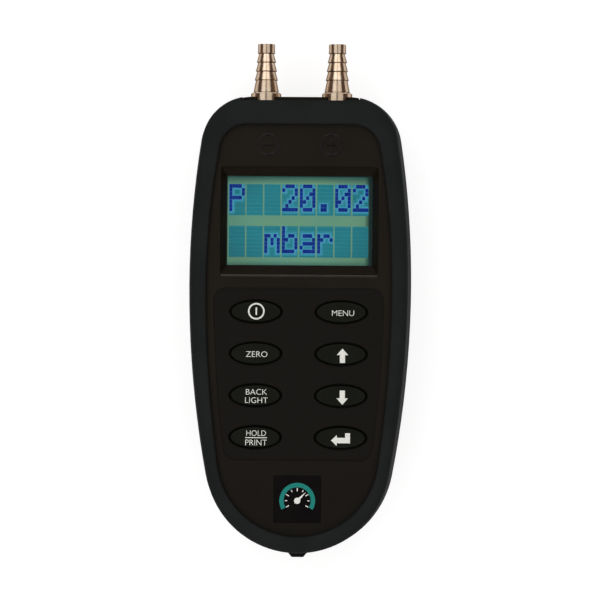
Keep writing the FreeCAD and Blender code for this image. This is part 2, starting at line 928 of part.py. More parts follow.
def edge_is_inside(edge, x, y):
    """Whether an edge lies between two x and two y."""
    box = edge.BoundBox
    slack = 0.05
    inside_x = box.XMin > x[0].number - slack and box.XMax < x[1].number + slack
    inside_y = box.YMin > y[0].number - slack and box.YMax < y[1].number + slack
    return inside_x and inside_y


def make_front_case():
    """The front shell: display well, key field, key holes, badge recess and the bosses behind."""
    case = Piece("front_case")
    case.add([pear(CASE)], (parting, panel))
    case.fillet(s["case_front_round"], at_height(panel))
    case.cut([pear(CASE_INSIDE)], (parting, case_ceiling))
    tongue = CASE.inset(s["tongue_inset"])
    ring = [pear(tongue), pear(tongue.inset(s["tongue_width"]))]
    case.add(ring, (parting - s["tongue_height"], parting))
    surround_x = grown(well_x, s["well_wall"])
    surround_y = grown(well_y, s["well_wall"])
    case.add([rectangle(surround_x, surround_y, s["well_corner"])], (pane_front, case_ceiling))
    case.add(discs(case_bosses, s["screw_boss_radius"]), (parting, case_ceiling))
    case.add(discs(display_bosses, s["small_boss_radius"]), (display_board_front, case_ceiling))
    case.add(discs(board_bosses, s["small_boss_radius"]), (main_board_front, case_ceiling))
    aperture = rectangle(aperture_x, aperture_y, s["aperture_corner"])
    case.cut_tapered(aperture, well_floor, rectangle(well_x, well_y, s["well_corner"]), panel)
    case.fillet(s["well_edge_round"], well_edge)
    case.cut([aperture], (pane_front, well_floor))
    field = band(KEY_FIELD, key_field_top, key_field_bottom, s["key_field_corner"])
    case.cut([field], (panel - s["key_field_sink"], panel))
    length = key_length + s["key_gap"] * 2
    width = s["key_width"] + s["key_gap"] * 2
    case.cut([oval(x, y, length, width) for name, x, y in key_places()], (case_ceiling, panel))
    recess = s["badge_side"] + s["badge_gap"] * 2
    badge = rectangle(centred(recess), centred(recess, badge_middle), s["badge_corner"])
    case.cut([badge], (panel - s["badge_sink"], panel))
    case.cut(discs(case_bosses, s["insert_radius"]), (parting, parting + s["insert_length"]))
    for places, seat in ((display_bosses, display_board_front), (board_bosses, main_board_front)):
        case.cut(discs(places, s["small_screw_radius"]), (seat, seat + s["small_screw_bite"]))
    case.cut([window_opening()], grown((CASE.bottom, CASE_INSIDE.bottom), s["case_wall"]), "XZ_Plane")


def window_opening():
    """The slot for the infrared window, shared by both case halves at the parting plane."""
    x = grown(centred(s["infrared_width"]), s["infrared_gap"])
    z = grown(centred(s["infrared_height"], parting), s["infrared_gap"])
    return rectangle(x, z)


def make_rear_case():
    """The deep rear shell: port ridge, battery bay, screw bosses and the posts of the sensor board."""
    case = Piece("rear_case")
    case.add([pear(CASE)], (case_back, parting))
    case.fillet(s["boot_back_round"] - s["boot_wall"] - s["boot_fit"], at_height(case_back))
    case.cut([pear(CASE_INSIDE)], (case_floor, parting))
    ridge_x = grown(port_slot_x, -s["ridge_gap"])
    ridge_z = (port_axis - s["port_slot_back"] + s["ridge_gap"], port_axis + s["ridge_front"])
    ridge = rectangle(ridge_x, ridge_z, s["lip_edge_round"])
    case.add([ridge], (CASE_INSIDE.top, boot_top), "XZ_Plane")
    around_x = grown(centred(s["boot_width"]), s["boot_wall"])
    around_y = grown((boot_bottom, boot_top), s["boot_wall"])
    case.cut([rectangle(around_x, around_y), pear(BOOT.inset(s["ridge_sink"]))], ridge_z)
    block = bay_block()
    case.add([rectangle(block[0], block[1])], (case_back, bay_roof_outside))
    case.add(discs(case_bosses, s["screw_boss_radius"]), (case_back, parting))
    case.add(discs(sensor_posts(), s["small_boss_radius"]), (case_floor, sensor_board_back))
    case.cut([rectangle(bay_x(), (bay_bottom, bay_top))], (case_back, bay_roof))
    lid_x = grown(bay_x(), s["cover_ledge"])
    lid_y = grown((bay_bottom, bay_top), s["cover_ledge"])
    case.cut([rectangle(lid_x, lid_y)], (case_back, cover_inside))
    slots = [rectangle(grown(x, s["hook_gap"]), grown(y, s["hook_gap"])) for x, y in cover_hooks()]
    case.cut(slots, (cover_inside, cover_inside + s["hook_thickness"] + s["hook_gap"]))
    ports = [disc(x, port_axis, s["flange_radius"] + s["flange_well_gap"]) for x in (port_x, -port_x)]
    case.cut(ports, (CASE.top, boot_top), "XZ_Plane")
    holes = [disc(x, port_axis, s["shank_radius"] + s["shank_clearance"]) for x in (port_x, -port_x)]
    case.cut(holes, grown((CASE_INSIDE.top, CASE.top), s["case_wall"] / 2), "XZ_Plane")
    head = s["screw_head_radius"] + s["screw_clearance"]
    case.cut(discs(case_bosses, head), (case_back, case_back + s["screw_sink"]))
    shank = s["screw_shank_radius"] + s["screw_clearance"]
    case.cut(discs(case_bosses, shank), (case_back, parting))
    pilots = discs(sensor_posts(), s["small_screw_radius"])
    case.cut(pilots, (sensor_board_back - s["small_screw_bite"], sensor_board_back))
    tongue = CASE.inset(s["tongue_inset"] - s["tongue_gap"])
    groove_inside = tongue.inset(s["tongue_width"] + s["tongue_gap"] * 2)
    groove_floor = parting - s["tongue_height"] - s["tongue_gap"]
    case.cut([pear(tongue), pear(groove_inside)], (groove_floor, parting))
    case.cut([window_opening()], grown((CASE.bottom, CASE_INSIDE.bottom), s["case_wall"]), "XZ_Plane")
    pin_hole = s["supply_pin_radius"] + s["screw_clearance"]
    case.cut(discs(supply_pin_places(), pin_hole), (bay_roof, bay_roof_outside))


def bay_x():
    return centred(bay_width)


def bay_block():
    return grown(bay_x(), s["bay_wall"]), grown((bay_bottom, bay_top), s["bay_wall"])


def cover_hooks():
    """Two hooks at the top of the battery cover and one latch at its foot, as x and y spans."""
    reach = s["hook_reach"]
    root = s["cell_nub_length"]
    spread = s["supply_pin_spacing"] / 2
    top = (bay_top - root, bay_top + reach)
    foot = (bay_bottom - reach, bay_bottom + root)
    return [
        (centred(s["hook_width"], spread), top),
        (centred(s["hook_width"], -spread), top),
        (centred(s["hook_width"]), foot),
    ]


def make_battery_cover():
    cover = Piece("battery_cover")
    lid_x = grown(bay_x(), s["cover_ledge"] - s["cover_gap"])
    lid_y = grown((bay_bottom, bay_top), s["cover_ledge"] - s["cover_gap"])
    cover.add([rectangle(lid_x, lid_y, s["cover_corner"])], (case_back, cover_inside))
    hooks = [rectangle(x, y) for x, y in cover_hooks()]
    cover.add(hooks, (cover_inside, cover_inside + s["hook_thickness"]))
    grooves = []
    for step in range(GRIP_RIBS):
        y = centred(s["grip_groove"], bay_bottom + s["grip_rise"] + s["grip_pitch"] * step)
        grooves.append(rectangle(centred(s["grip_width"]), y))
    cover.cut(grooves, (case_back, case_back + s["grip_depth"]))


def cell_places():
    """Where the middle of every cell is along X."""
    pitch = cell_radius * 2 + s["cell_gap"]
    return [pitch * (index - (CELLS - 1) / 2) for index in range(CELLS)]


def make_cells():
    """Four round cells side by side, with every second one turned end for end."""
    plate = s["contact_thickness"]
    for index, x in enumerate(cell_places()):
        cell = Piece(f"battery_cell_{index + 1}")
        body_length = s["cell_length"] - s["cell_nub_length"]
        if index % 2 == 0:
            nub_end = bay_top - plate
            shoulder = nub_end - s["cell_nub_length"]
            can = (shoulder - body_length, shoulder)
            nub = (shoulder, nub_end)
        else:
            nub_end = bay_bottom + plate
            shoulder = nub_end + s["cell_nub_length"]
            can = (shoulder, shoulder + body_length)
            nub = (nub_end, shoulder)
        cell.add([disc(x, cell_axis, cell_radius)], can, "XZ_Plane")
        cell.add([disc(x, cell_axis, s["cell_nub_radius"])], nub, "XZ_Plane")


def make_battery_contacts():
    """A flat plate at both ends of every cell, with a bowed leaf that presses on its flat end."""
    contacts = Piece("battery_contacts")
    plate = s["contact_thickness"]
    z = centred(s["contact_height"], cell_axis)
    spare = s["bay_spare"] - plate * 2
    for index, x in enumerate(cell_places()):
        across = centred(s["contact_width"], x)
        contacts.add([rectangle(across, z)], (bay_top - plate, bay_top), "XZ_Plane")
        contacts.add([rectangle(across, z)], (bay_bottom, bay_bottom + plate), "XZ_Plane")
        inward = 1 if index % 2 == 0 else -1
        root = bay_bottom + plate if index % 2 == 0 else bay_top - plate
        tip_y = root + spare * inward
        leaf = polygon(
            [
                (root, z[1]),
                (tip_y, cell_axis),
                (root, z[0]),
                (root, z[0] + plate * 2),
                (tip_y - plate * 2 * inward, cell_axis),
                (root, z[1] - plate * 2),
            ]
        )
        contacts.add([leaf], centred(s["leaf_width"], x), "YZ_Plane")


def supply_pin_places():
    """Two places on the bay's roof, above the ends of the outer cells."""
    y = bay_top - cell_radius
    return [(s["supply_pin_spacing"] / 2, y), (-(s["supply_pin_spacing"] / 2), y)]


def make_supply_pins():
    """Two pins that carry the battery current through the bay's roof to the main board."""
    pins = Piece("supply_pins")
    places = supply_pin_places()
    pins.add(discs(places, s["supply_pin_radius"]), (bay_roof, main_board_back))
    collar = (bay_roof_outside, bay_roof_outside + s["supply_collar_height"])
    pins.add(discs(places, s["supply_collar_radius"]), collar)


def make_display():
    """The pane, the display glass in its bezel, the backlight and the board that carries them."""
    window = Piece("display_window")
    window.add([rectangle(pane_x, pane_y, s["well_corner"])], (pane_back, pane_front))
    bezel = Piece("lcd_frame")
    bezel.add([rectangle(bezel_x, bezel_y)], (display_board_front, bezel_front))
    glass_front = bezel_front - s["glass_sink"]
    glass_back = glass_front - s["glass_thickness"]
    bezel.cut([rectangle(glass_x, glass_y)], (display_board_front, glass_front))
    bezel.cut([rectangle(aperture_x, aperture_y)], (display_board_front, bezel_front))
    sheet_shape = rectangle(grown(glass_x, -s["pane_gap"]), grown(glass_y, -s["pane_gap"]))
    glass = Piece("lcd_glass")
    glass.add([sheet_shape], (glass_back, glass_front))
    light = Piece("lcd_backlight")
    light.add([sheet_shape], (glass_back - s["backlight_thickness"], glass_back))
    board = Piece("lcd_board")
    board_z = (display_board_back, display_board_front)
    board.add([rectangle(display_board_x, display_board_y, s["well_corner"])], board_z)
    board.cut(discs(display_bosses, s["small_screw_radius"] + s["screw_clearance"]), board_z)


def screws(label, places, seat, hole_end, head_radius, head_height, shank_radius):
    """Like screws in one node, with their heads below the seat and sockets in the heads."""
    group = Piece(label)
    group.add(discs(places, head_radius), (seat - head_height, seat))
    group.add(discs(places, shank_radius), (seat, hole_end))
    sockets = [hexagon(x, y, head_radius / 2) for x, y in places]
    group.cut(sockets, (seat - head_height, seat - head_height / 2))


def hexagon(x, y, radius):
    """Draws a hexagon by its centre and its corner radius, with two flats that face along X."""
    corners = []
    for step in range(6):
        angle = math.pi / 3 * (step + 0.5)
        across = radius * round(math.cos(angle), 6)
        up = radius * round(math.sin(angle), 6)
        corners.append((across + x, up + y))
    return polygon(corners)


def make_screws():
    bite = s["small_screw_bite"] - s["thread_gap"]
    thread = s["small_screw_radius"] - s["thread_gap"]
    small = (s["small_head_radius"], s["small_head_height"], thread)
    screws("lcd_board_screws", display_bosses, display_board_back, display_board_front + bite, *small)
    screws("main_board_screws", board_bosses, main_board_back, main_board_front + bite, *small)
    deep = case_back + s["screw_sink"]
    end = parting + s["insert_length"]
    large = (s["screw_head_radius"], s["screw_head_height"], s["screw_shank_radius"])
    screws("case_screws", case_bosses, deep, end, *large)
    sensor = Piece("sensor_board_screws")
    head = (sensor_board_front, sensor_board_front + s["small_head_height"])
    sensor.add(discs(sensor_posts(), s["small_head_radius"]), head)
    sensor.add(discs(sensor_posts(), thread), (sensor_board_back - bite, sensor_board_front))
    inserts = Piece("case_inserts")
    inserts.add(discs(case_bosses, s["insert_radius"]), (parting, parting + s["insert_length"]))
    inserts.cut(discs(case_bosses, s["screw_shank_radius"]), (parting, parting + s["insert_length"]))


def make_key(label, x, y):
    """One oval key: a drafted cap with a soft edge, a flange behind the case and a foot for its dome."""
    key = Piece(label)
    flange = s["key_flange"] * 2
    base_length = key_length + s["key_draft"] * 2
    base_width = s["key_width"] + s["key_draft"] * 2
    key_front = panel + s["key_rise"]
    rim = oval(x, y, base_length + flange, base_width + flange)
    key.add([rim], (key_flange_back, key_flange_front))
    base = oval(x, y, base_length, base_width)
    key.add_tapered(base, key_flange_front, oval(x, y, key_length, s["key_width"]), key_front)
    key.add([disc(x, y, s["key_foot_radius"])], (key_foot_end, key_flange_back))
    key.fillet(s["key_edge_round"], at_height(key_front))


def make_keypad():
    """The rubber mat under the keys, with one low dome for each."""
    mat = Piece("keypad_mat")
    flange_x = key_length / 2 + s["key_draft"] + s["key_flange"]
    flange_y = s["key_width"] / 2 + s["key_draft"] + s["key_flange"]
    mat_x = grown(centred(key_column_spacing), flange_x + s["mat_margin"])
    mat_y = grown((last_row, first_row), flange_y + s["mat_margin"])
    mat.add([rectangle(mat_x, mat_y, s["badge_corner"])], (main_board_front, mat_front))
    length = key_length - s["dome_margin"] * 2
    width = s["key_width"] - s["dome_margin"] / 2
    mat.add([oval(x, y, length, width) for name, x, y in key_places()], (mat_front, dome_front))


def make_main_board():
    """The board under the keys: it follows the case's sides and has a tongue under the display board."""
    board = Piece("main_board")
    outline = CASE_INSIDE.inset(s["main_board_gap"])
    board_top = display_board_y[0] - s["main_board_top_gap"]
    board_z = (main_board_back, main_board_front)
    corner = s["key_field_corner"]
    board.add([band(outline, board_top, board_foot, corner)], board_z)
    tongue_y = (board_top - corner, display_board_y[0] + s["tongue_board_overlap"])
    board.add([rectangle(centred(s["tongue_board_width"]), tongue_y)], board_z)
    hole = s["small_screw_radius"] + s["screw_clearance"]
    board.cut(discs(board_bosses, hole), board_z)
    header = Piece("board_header")
    header_y = centred(s["header_depth"], display_board_y[0] + s["tongue_board_overlap"] / 2)
    header.add([rectangle(centred(s["header_width"]), header_y)], (display_board_front, main_board_back))
    chip_y = first_row - s["parts_drop"]
    chip = Piece("microcontroller")
    chip_x = centred(s["chip_side"], -(s["buzzer_offset"] / 2))
    chip_z = (main_board_back - s["chip_height"], main_board_back)
    chip.add([rectangle(chip_x, centred(s["chip_side"], chip_y))], chip_z)
    buzzer = Piece("buzzer")
    buzzer_z = (main_board_back - s["buzzer_height"], main_board_back)
    buzzer.add([disc(s["buzzer_offset"], chip_y, s["buzzer_radius"])], buzzer_z)
    sound_hole = disc(s["buzzer_offset"], chip_y, s["buzzer_hole_radius"])
    buzzer.cut([sound_hole], (buzzer_z[0], buzzer_z[0] + s["buzzer_hole_depth"]))


def sensor_middle():
    """Middle of the pressure sensor along Y, below the tubes that come down from the nipples."""
    return sensor_top() - s["sensor_length"] / 2


def sensor_top():
    tail_start = flange_seat - s["shank_length"]
    return tail_start - s["tube_overlap"] - s["tube_bend_drop"] - s["tube_overlap"] - s["board_gap"]


def sensor_board_y():
    high = sensor_top() + s["sensor_offset"]
    return (high - s["sensor_board_length"], high)


def sensor_posts():
    x = s["sensor_board_width"] / 2 - s["corner_hole_inset"]
    y = sensor_board_y()
    return four(x, y[0] + s["corner_hole_inset"], y[1] - s["corner_hole_inset"])


def make_sensor():
    """The pressure sensor with its two ports, on a small board that stands on posts in the rear case."""
    board = Piece("sensor_board")
    board_z = (sensor_board_back, sensor_board_front)
    board.add([rectangle(centred(s["sensor_board_width"]), sensor_board_y())], board_z)
    board.cut(discs(sensor_posts(), s["small_screw_radius"] + s["screw_clearance"]), board_z)
    sensor = Piece("pressure_sensor")
    sensor_y = centred(s["sensor_length"], sensor_middle())
    sensor_z = (sensor_board_front, sensor_board_front + s["sensor_height"])
    sensor.add([rectangle(centred(s["sensor_width"]), sensor_y)], sensor_z)
    port = s["sensor_port_spacing"] / 2
    ports = [disc(x, port_axis, s["sensor_port_radius"]) for x in (port, -port)]
    sensor.add(ports, (sensor_y[1], sensor_y[1] + s["sensor_port_length"]), "XZ_Plane")
    bores = [disc(x, port_axis, s["sensor_bore_radius"]) for x in (port, -port)]
    sensor.cut(bores, (sensor_y[1], sensor_y[1] + s["sensor_port_length"]), "XZ_Plane")
    header = Piece("sensor_header")
    header_y = centred(s["header_depth"], sensor_board_y()[0] + s["sensor_header_inset"])
    header.add([rectangle(centred(s["header_width"]), header_y)], (sensor_board_front, display_board_back))


def make_tube(label, side):
    """A soft inner tube from a nipple's tail to a port of the sensor."""
    tube = Piece(label)
    start = (port_x * side, flange_seat - s["shank_length"] - s["board_gap"])
    end_x = s["sensor_port_spacing"] / 2 * side
    end_y = sensor_top() + s["board_gap"]
    lead = s["tube_overlap"] - s["board_gap"]
    path = bent_path(start, end_x, end_y, lead, s["tube_bend_drop"], side)
    section = [disc(start[0], port_axis, s[size]) for size in ("tube_outer_radius", "tail_radius")]
    spine = tube.sweep(section, start[1], path, port_axis)
    doc.recompute()
    ring = math.pi * (s["tube_outer_radius"].number ** 2 - s["tail_radius"].number ** 2)
    if abs(tube.body.Shape.Volume / (ring * spine.Shape.Length) - 1) > 0.01:
        raise ValueError(f"{label} has the wrong volume")


def nipple_profile():
    """Half of the nipple's section, radius against height above its flange seat, tip first."""
    reach = tip - flange_seat
    corners = [(s["mouth_radius"], reach), (s["tip_radius"], reach)]
    corners.append((s["tip_radius"], reach - s["tip_land"]))
    for tooth in range(TEETH):
        crest = s["first_crest"] + s["crest_growth"] * tooth
        foot = reach - s["tooth_pitch"] * (tooth + 1)
        following = crest - s["tooth_step"] if tooth < TEETH - 1 else s["cone_top_radius"]
        corners.append((crest, foot))
        corners.append((following, foot))
    neck = s["flange_thickness"] + s["neck_length"]
    chamfer = s["flange_chamfer"]
    corners += [
        (s["cone_foot_radius"], neck),
        (s["neck_radius"], neck),
        (s["neck_radius"], s["flange_thickness"]),
        (s["flange_radius"] - chamfer, s["flange_thickness"]),
        (s["flange_radius"], s["flange_thickness"] - chamfer),
        (s["flange_radius"], as_size(0)),
        (s["shank_radius"], as_size(0)),
        (s["shank_radius"], -s["shank_length"]),
        (s["tail_radius"], -s["shank_length"]),
        (s["tail_radius"], -(s["shank_length"] + s["tail_length"] - s["tail_radius"])),
        (s["tail_radius"] - s["tail_barb"], -(s["shank_length"] + s["tail_length"])),
        (s["bore_radius"], -(s["shank_length"] + s["tail_length"])),
        (s["bore_radius"], reach - s["mouth_depth"]),
        (s["mouth_radius"], reach - s["mouth_depth"]),
    ]
    return corners


def make_port(name, side):
    """One pressure port: the turned nipple, its seal outside the case and its nut inside."""
    x = port_x * side
    nipple = Piece(f"{name}_nipple")
    nipple.turn([polygon(nipple_profile())])
    nipple.move(x, flange_seat, port_axis)
    seal = Piece(f"{name}_port_seal")
    around = s["shank_radius"] + s["shank_clearance"]
    ring = [disc(x, port_axis, s["flange_radius"]), disc(x, port_axis, around)]
    seal.add(ring, (CASE.top, flange_seat), "XZ_Plane")
    nut = Piece(f"{name}_port_nut")
    corner_radius = s["nut_across_flats"] / math.sqrt(3)
    flats = [hexagon(x, port_axis, corner_radius), disc(x, port_axis, around)]
    nut.add(flats, (CASE_INSIDE.top - s["nut_thickness"], CASE_INSIDE.top), "XZ_Plane")


def make_badge():
    """A plain square plate in its shallow recess at the foot of the panel."""
    badge = Piece("badge_plate")
    front = panel - s["badge_sink"] + s["badge_thickness"]
    side = s["badge_side"]
    shape = rectangle(centred(side), centred(side, badge_middle), s["badge_corner"])
    badge.add([shape], (panel - s["badge_sink"], front))


def make_infrared():
    """The dark window between the case halves, and the emitter behind it with its two bent leads."""
    window = Piece("infrared_window")
    flange_foot = CASE_INSIDE.bottom + s["infrared_flange_offset"]
    nose_end = boot_bottom - s["infrared_reach"]
    half = s["infrared_width"] / 2
    tip_half = s["infrared_tip_width"] / 2
    wide = half + s["infrared_flange"]
    flange_top = flange_foot + s["infrared_flange_thickness"]
    nose = [
        (wide, flange_top),
        (-wide, flange_top),
        (-wide, flange_foot),
        (-half, flange_foot),
        (-half, nose_end + s["infrared_taper"]),
        (-tip_half, nose_end),
        (tip_half, nose_end),
        (half, nose_end + s["infrared_taper"]),
        (half, flange_foot),
        (wide, flange_foot),
    ]
    window.add([polygon(nose)], centred(s["infrared_height"], parting))
    window.fillet(s["infrared_tip_round"], upright_at(nose_end))
    emitter = Piece("infrared_led")
    lens = flange_top + s["board_gap"]
    emitter.add([disc(0, parting, s["emitter_radius"])], (lens, lens + s["emitter_length"]), "XZ_Plane")
    thick = s["lead_thickness"]
    bend = board_foot + s["emitter_radius"]
    lead = [
        (lens + s["emitter_length"], parting),
        (bend, parting),
        (bend, main_board_back),
        (bend - thick, main_board_back),
        (bend - thick, parting + thick),
        (lens + s["emitter_length"], parting + thick),
    ]
    for x in centred(s["lead_pitch"]):
        emitter.add([polygon(lead)], centred(thick, x), "YZ_Plane")


def check_and_write():
    """Stops on any failed feature or bad shape, and then writes one file for each piece."""
    doc.recompute()
    for item in doc.Objects:
        if "Invalid" in item.State or "Error" in item.State:
            raise ValueError(f"{item.Label} failed: {item.State}")
    os.makedirs("parts", exist_ok=True)
    for body in pieces:
        shape = body.Shape
        if shape.isNull() or not shape.isValid() or not shape.Solids:
            raise ValueError(f"{body.Label} is not a sound solid")
    for body in pieces:
        body.Shape.exportStep(f"parts/{body.Label}.step")


make_boot()
make_front_case()
make_rear_case()
make_battery_cover()
make_cells()
make_battery_contacts()
make_supply_pins()
make_display()
make_screws()
for name, x, y in key_places():
    make_key(name, x, y)
make_keypad()
make_main_board()
make_sensor()
for name, side in (("positive", 1), ("negative", -1)):
    make_port(name, side)
    make_tube(f"{name}_tube", side)
make_badge()
make_infrared()
check_and_write()
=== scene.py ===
import json
import math

import bmesh
import bpy
from mathutils import Matrix, Vector


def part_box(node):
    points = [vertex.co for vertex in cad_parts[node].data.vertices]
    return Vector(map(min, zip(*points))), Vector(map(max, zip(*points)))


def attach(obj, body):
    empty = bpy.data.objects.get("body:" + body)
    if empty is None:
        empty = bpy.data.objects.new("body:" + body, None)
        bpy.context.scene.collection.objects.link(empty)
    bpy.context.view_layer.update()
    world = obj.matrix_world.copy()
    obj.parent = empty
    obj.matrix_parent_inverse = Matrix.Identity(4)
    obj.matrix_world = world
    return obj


# A digital manometer in a rubber boot: finishes, display, key print and moulded marks.
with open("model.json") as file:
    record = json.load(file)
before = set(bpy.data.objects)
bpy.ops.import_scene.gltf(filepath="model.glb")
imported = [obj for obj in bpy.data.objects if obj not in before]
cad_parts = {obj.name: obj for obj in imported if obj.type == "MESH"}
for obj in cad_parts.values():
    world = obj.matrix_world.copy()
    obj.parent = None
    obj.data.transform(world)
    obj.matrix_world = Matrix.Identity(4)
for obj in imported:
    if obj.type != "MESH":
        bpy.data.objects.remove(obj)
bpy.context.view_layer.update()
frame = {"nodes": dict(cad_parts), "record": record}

MM = 0.001
BODY = "instrument"

# Levels and middles, all from the frame
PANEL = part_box("front_case")[1].z
KEY_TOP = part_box("power_key")[1].z
GLASS_LOW, GLASS_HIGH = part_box("lcd_glass")
GLASS_MIDDLE = (GLASS_LOW.y + GLASS_HIGH.y) / 2
BADGE_LOW, BADGE_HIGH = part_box("badge_plate")

# Display: eight cells in each of two rows, five by eight dots in a cell
CELL_PITCH = 6.84 * MM
CELL_WIDTH = 6.3 * MM
CELLS_LEFT = -27.5 * MM
DOT_PITCH_X = 1.21 * MM
DOT_PITCH_Y = 1.51 * MM
DOT_WIDTH = 1.19 * MM
DOT_HEIGHT = 1.44 * MM
ROW_HEIGHT = 12.1 * MM
ROW_GAP = 4.1 * MM
DISPLAY_MIDDLE = GLASS_MIDDLE + 0.1 * MM
CELLS_TOP = DISPLAY_MIDDLE + ROW_GAP / 2 + ROW_HEIGHT
CELLS_FOOT = DISPLAY_MIDDLE - ROW_GAP / 2 - ROW_HEIGHT
CHARACTERS = {
    "P": ["####.", "#...#", "#...#", "####.", "#....", "#....", "#...."],
    "2": [".###.", "#...#", "....#", "...#.", "..#..", ".#...", "#####"],
    "0": [".###.", "#...#", "#..##", "#.#.#", "##..#", "#...#", ".###."],
    ".": [".....", ".....", ".....", ".....", ".....", ".##..", ".##.."],
    "b": ["#....", "#....", "#.##.", "##..#", "#...#", "#...#", "####."],
    "m": [".....", ".....", "##.#.", "#.#.#", "#.#.#", "#...#", "#...#"],
    "a": [".....", ".....", ".###.", "....#", ".####", "#...#", ".####"],
    "r": [".....", ".....", "#.##.", "##..#", "#....", "#....", "#...."],
}
READING = ["P  20.02", "  mbar  "]

# Display: how thick a drawn layer is, where its light and its cells end at the right, the room inside the
# black border, and how wide the two steps of blue round a dark dot are
LAYER = 0.04 * MM
LIT_RIGHT = 26.2 * MM
CELLS_RIGHT = LIT_RIGHT + 0.4 * MM
LIT_HALF_WIDTH = 28.05 * MM
LIT_HALF_HEIGHT = 17.2 * MM
BORDER_WIDTH = 1.5 * MM
HALO_SIZE = 3.3 * MM
GLOW_SIZE = 2.2 * MM

# Display: how strong its backlight is, how far that reaches, and what is left of it at the corners
BACKLIGHT = 0.94
BACKLIGHT_REACH = (30 * MM, 22 * MM)
CORNER_SHARE = 0.76

# Display: where its painted shade starts and ends above the cells and at the right-hand end, and where its
# light starts and ends fading below them
TOP_PAINTED_SHADE = (CELLS_TOP + 0.2 * MM, CELLS_TOP + 3.0 * MM)
FOOT_FADE = (CELLS_FOOT - 1.2 * MM, CELLS_FOOT - 3.6 * MM)
END_PAINTED_SHADE = (LIT_RIGHT - 1.2 * MM, LIT_RIGHT + 0.8 * MM)

# The surface that all the display's crystal has
CRYSTAL = {"Roughness": 0.25, "IOR": 1.5, "Specular_IOR_Level": 0.2}

# Print: how thick the ink is, and how high its capitals are
INK = 0.03 * MM
CAP_HEIGHT = 2.15 * MM

# Words on the keys: how wide each is, how far it is off its key's print middle where two words share a key,
# and how far that middle is off the key's own, in millimetres
WORD_WIDTHS = {"ZERO": 8.3, "MENU": 8.5, "BACK": 8.15, "LIGHT": 8.7, "HOLD": 7.5, "PRINT": 8.3}
LINE_OFFSETS = {"BACK": 1.7, "LIGHT": -1.5, "HOLD": 1.75, "PRINT": -1.85}
PRINT_SHIFTS = {
    "power_key": (0.15, 0.15), "menu_key": (0.65, -0.35),
    "zero_key": (0.4, -0.25), "up_key": (0.55, -0.6),
    "backlight_key": (0.45, -0.35), "down_key": (0.6, -0.6),
    "hold_print_key": (0.45, -0.15), "enter_key": (0.05, -0.5),
}

# Signs on the keys: the line between two words, and the power sign's ring, by its radii, and its stroke
WORD_LINE = (8.4 * MM, 0.32 * MM, INK)
POWER_RING = (2.6 * MM, 3.2 * MM)
POWER_STROKE = (0.55 * MM, 2.9 * MM, INK)

# Corners of the printed arrows about their middles, in millimetres
UP_ARROW = [(-1.0, -2.75), (1.0, -2.75), (1.0, 0.25), (2.2, 0.25), (0.0, 2.75), (-2.2, 0.25), (-1.0, 0.25)]
ENTER_ARROW = [(-3.65, -0.45), (-1.45, 1.65), (-1.45, 0.6), (1.75, 0.6), (1.75, 2.35), (3.65, 2.35),
               (3.65, -1.5), (-1.45, -1.5), (-1.45, -2.55)]

# Moulded marks beside the nipples. The plus sign's second bar is a little thinner than its first, so that
# no two faces lie on each other
MARK_X = 12.1 * MM
MARK_Y = 59.5 * MM
MARK_RADIUS = 3.95 * MM
MARK_WIDTH = 0.9 * MM
MARK_RISE = 0.3 * MM
MARK_BAR = 4.9 * MM
FIRST_BAR_THICKNESS = MARK_RISE * 2
SECOND_BAR_THICKNESS = MARK_RISE * 1.9
MARK_EDGE = 0.25 * MM

# Bead along the foot of the display well. It stands 0.1 mm out of the panel
WELL_FOOT = GLASS_MIDDLE - 21.15 * MM
WELL_WIDTH = 60.8 * MM
BEAD_WIDTH = 1.1 * MM
BEAD_MIDDLE = (0, WELL_FOOT - 0.15 * MM, PANEL - 0.45 * MM)
BEAD_EDGE = 0.5 * MM

# How far the key field is sunk in the panel
FIELD_SINK = 0.5 * MM

# Dial on the badge: middle below the badge's own, radii, and the angles at which its scale starts and ends
DIAL_DROP = 0.6 * MM
SCALE_INNER = 5.2 * MM
SCALE_OUTER = 6.9 * MM
SCALE_START = math.radians(-30)
SCALE_SWEEP = math.radians(240)
SCALE_STEPS = 8
MARKS_RADIUS = 4.3 * MM
LONG_MARK = 1.3 * MM
SHORT_MARK = 0.8 * MM
LINE_WIDTH = 0.35 * MM
POINTER_ANGLE = math.radians(45)
POINTER_REACH = 4.9 * MM
POINTER_TAIL = 1.6 * MM
POINTER_HALF_WIDTH = 0.6 * MM
HUB = (0.5 * MM, 1.2 * MM)

# Camera, as the photograph was taken
CAMERA_PLACE = Vector((21.0, -0.4, 922.0)) * MM
CAMERA_TARGET = Vector((0.0, -0.3, 22.0)) * MM
CAMERA_ROLL = math.radians(0.45)
FRAME_WIDTH = 236.5 * MM
SENSOR_WIDTH = 36.0

# Softboxes: degrees from straight above, degrees about Z, distance in metres, size in metres, and watts
SOFTBOXES = {
    "left_softbox": (26, 180, 1.2, (0.92, 2.3), 8.1),
    "right_softbox": (26, 0, 1.2, (0.92, 2.3), 6.5),
    "top_softbox": (58, 90, 1.3, (1.4, 1.1), 5.5),
    "low_softbox": (58, 270, 1.3, (1.4, 0.5), 4.0),
}

# Floor: half its width, its gap under the object, where it starts and ends turning plain white, in metres,
# and the strength that lifts its lit part to white
FLOOR_REACH = 4.0
FLOOR_GAP = 0.02 * MM
FLOOR_FADE = (0.2, 0.6)
FLOOR_LIFT = 0.77


def linear(colour):
    """An sRGB colour such as #1f2221 as linear red, green, blue and alpha."""
    channels = [int(colour[place:place + 2], 16) / 255 for place in (1, 3, 5)]
    curved = [c / 12.92 if c <= 0.04045 else ((c + 0.055) / 1.055) ** 2.4 for c in channels]
    return (*curved, 1.0)


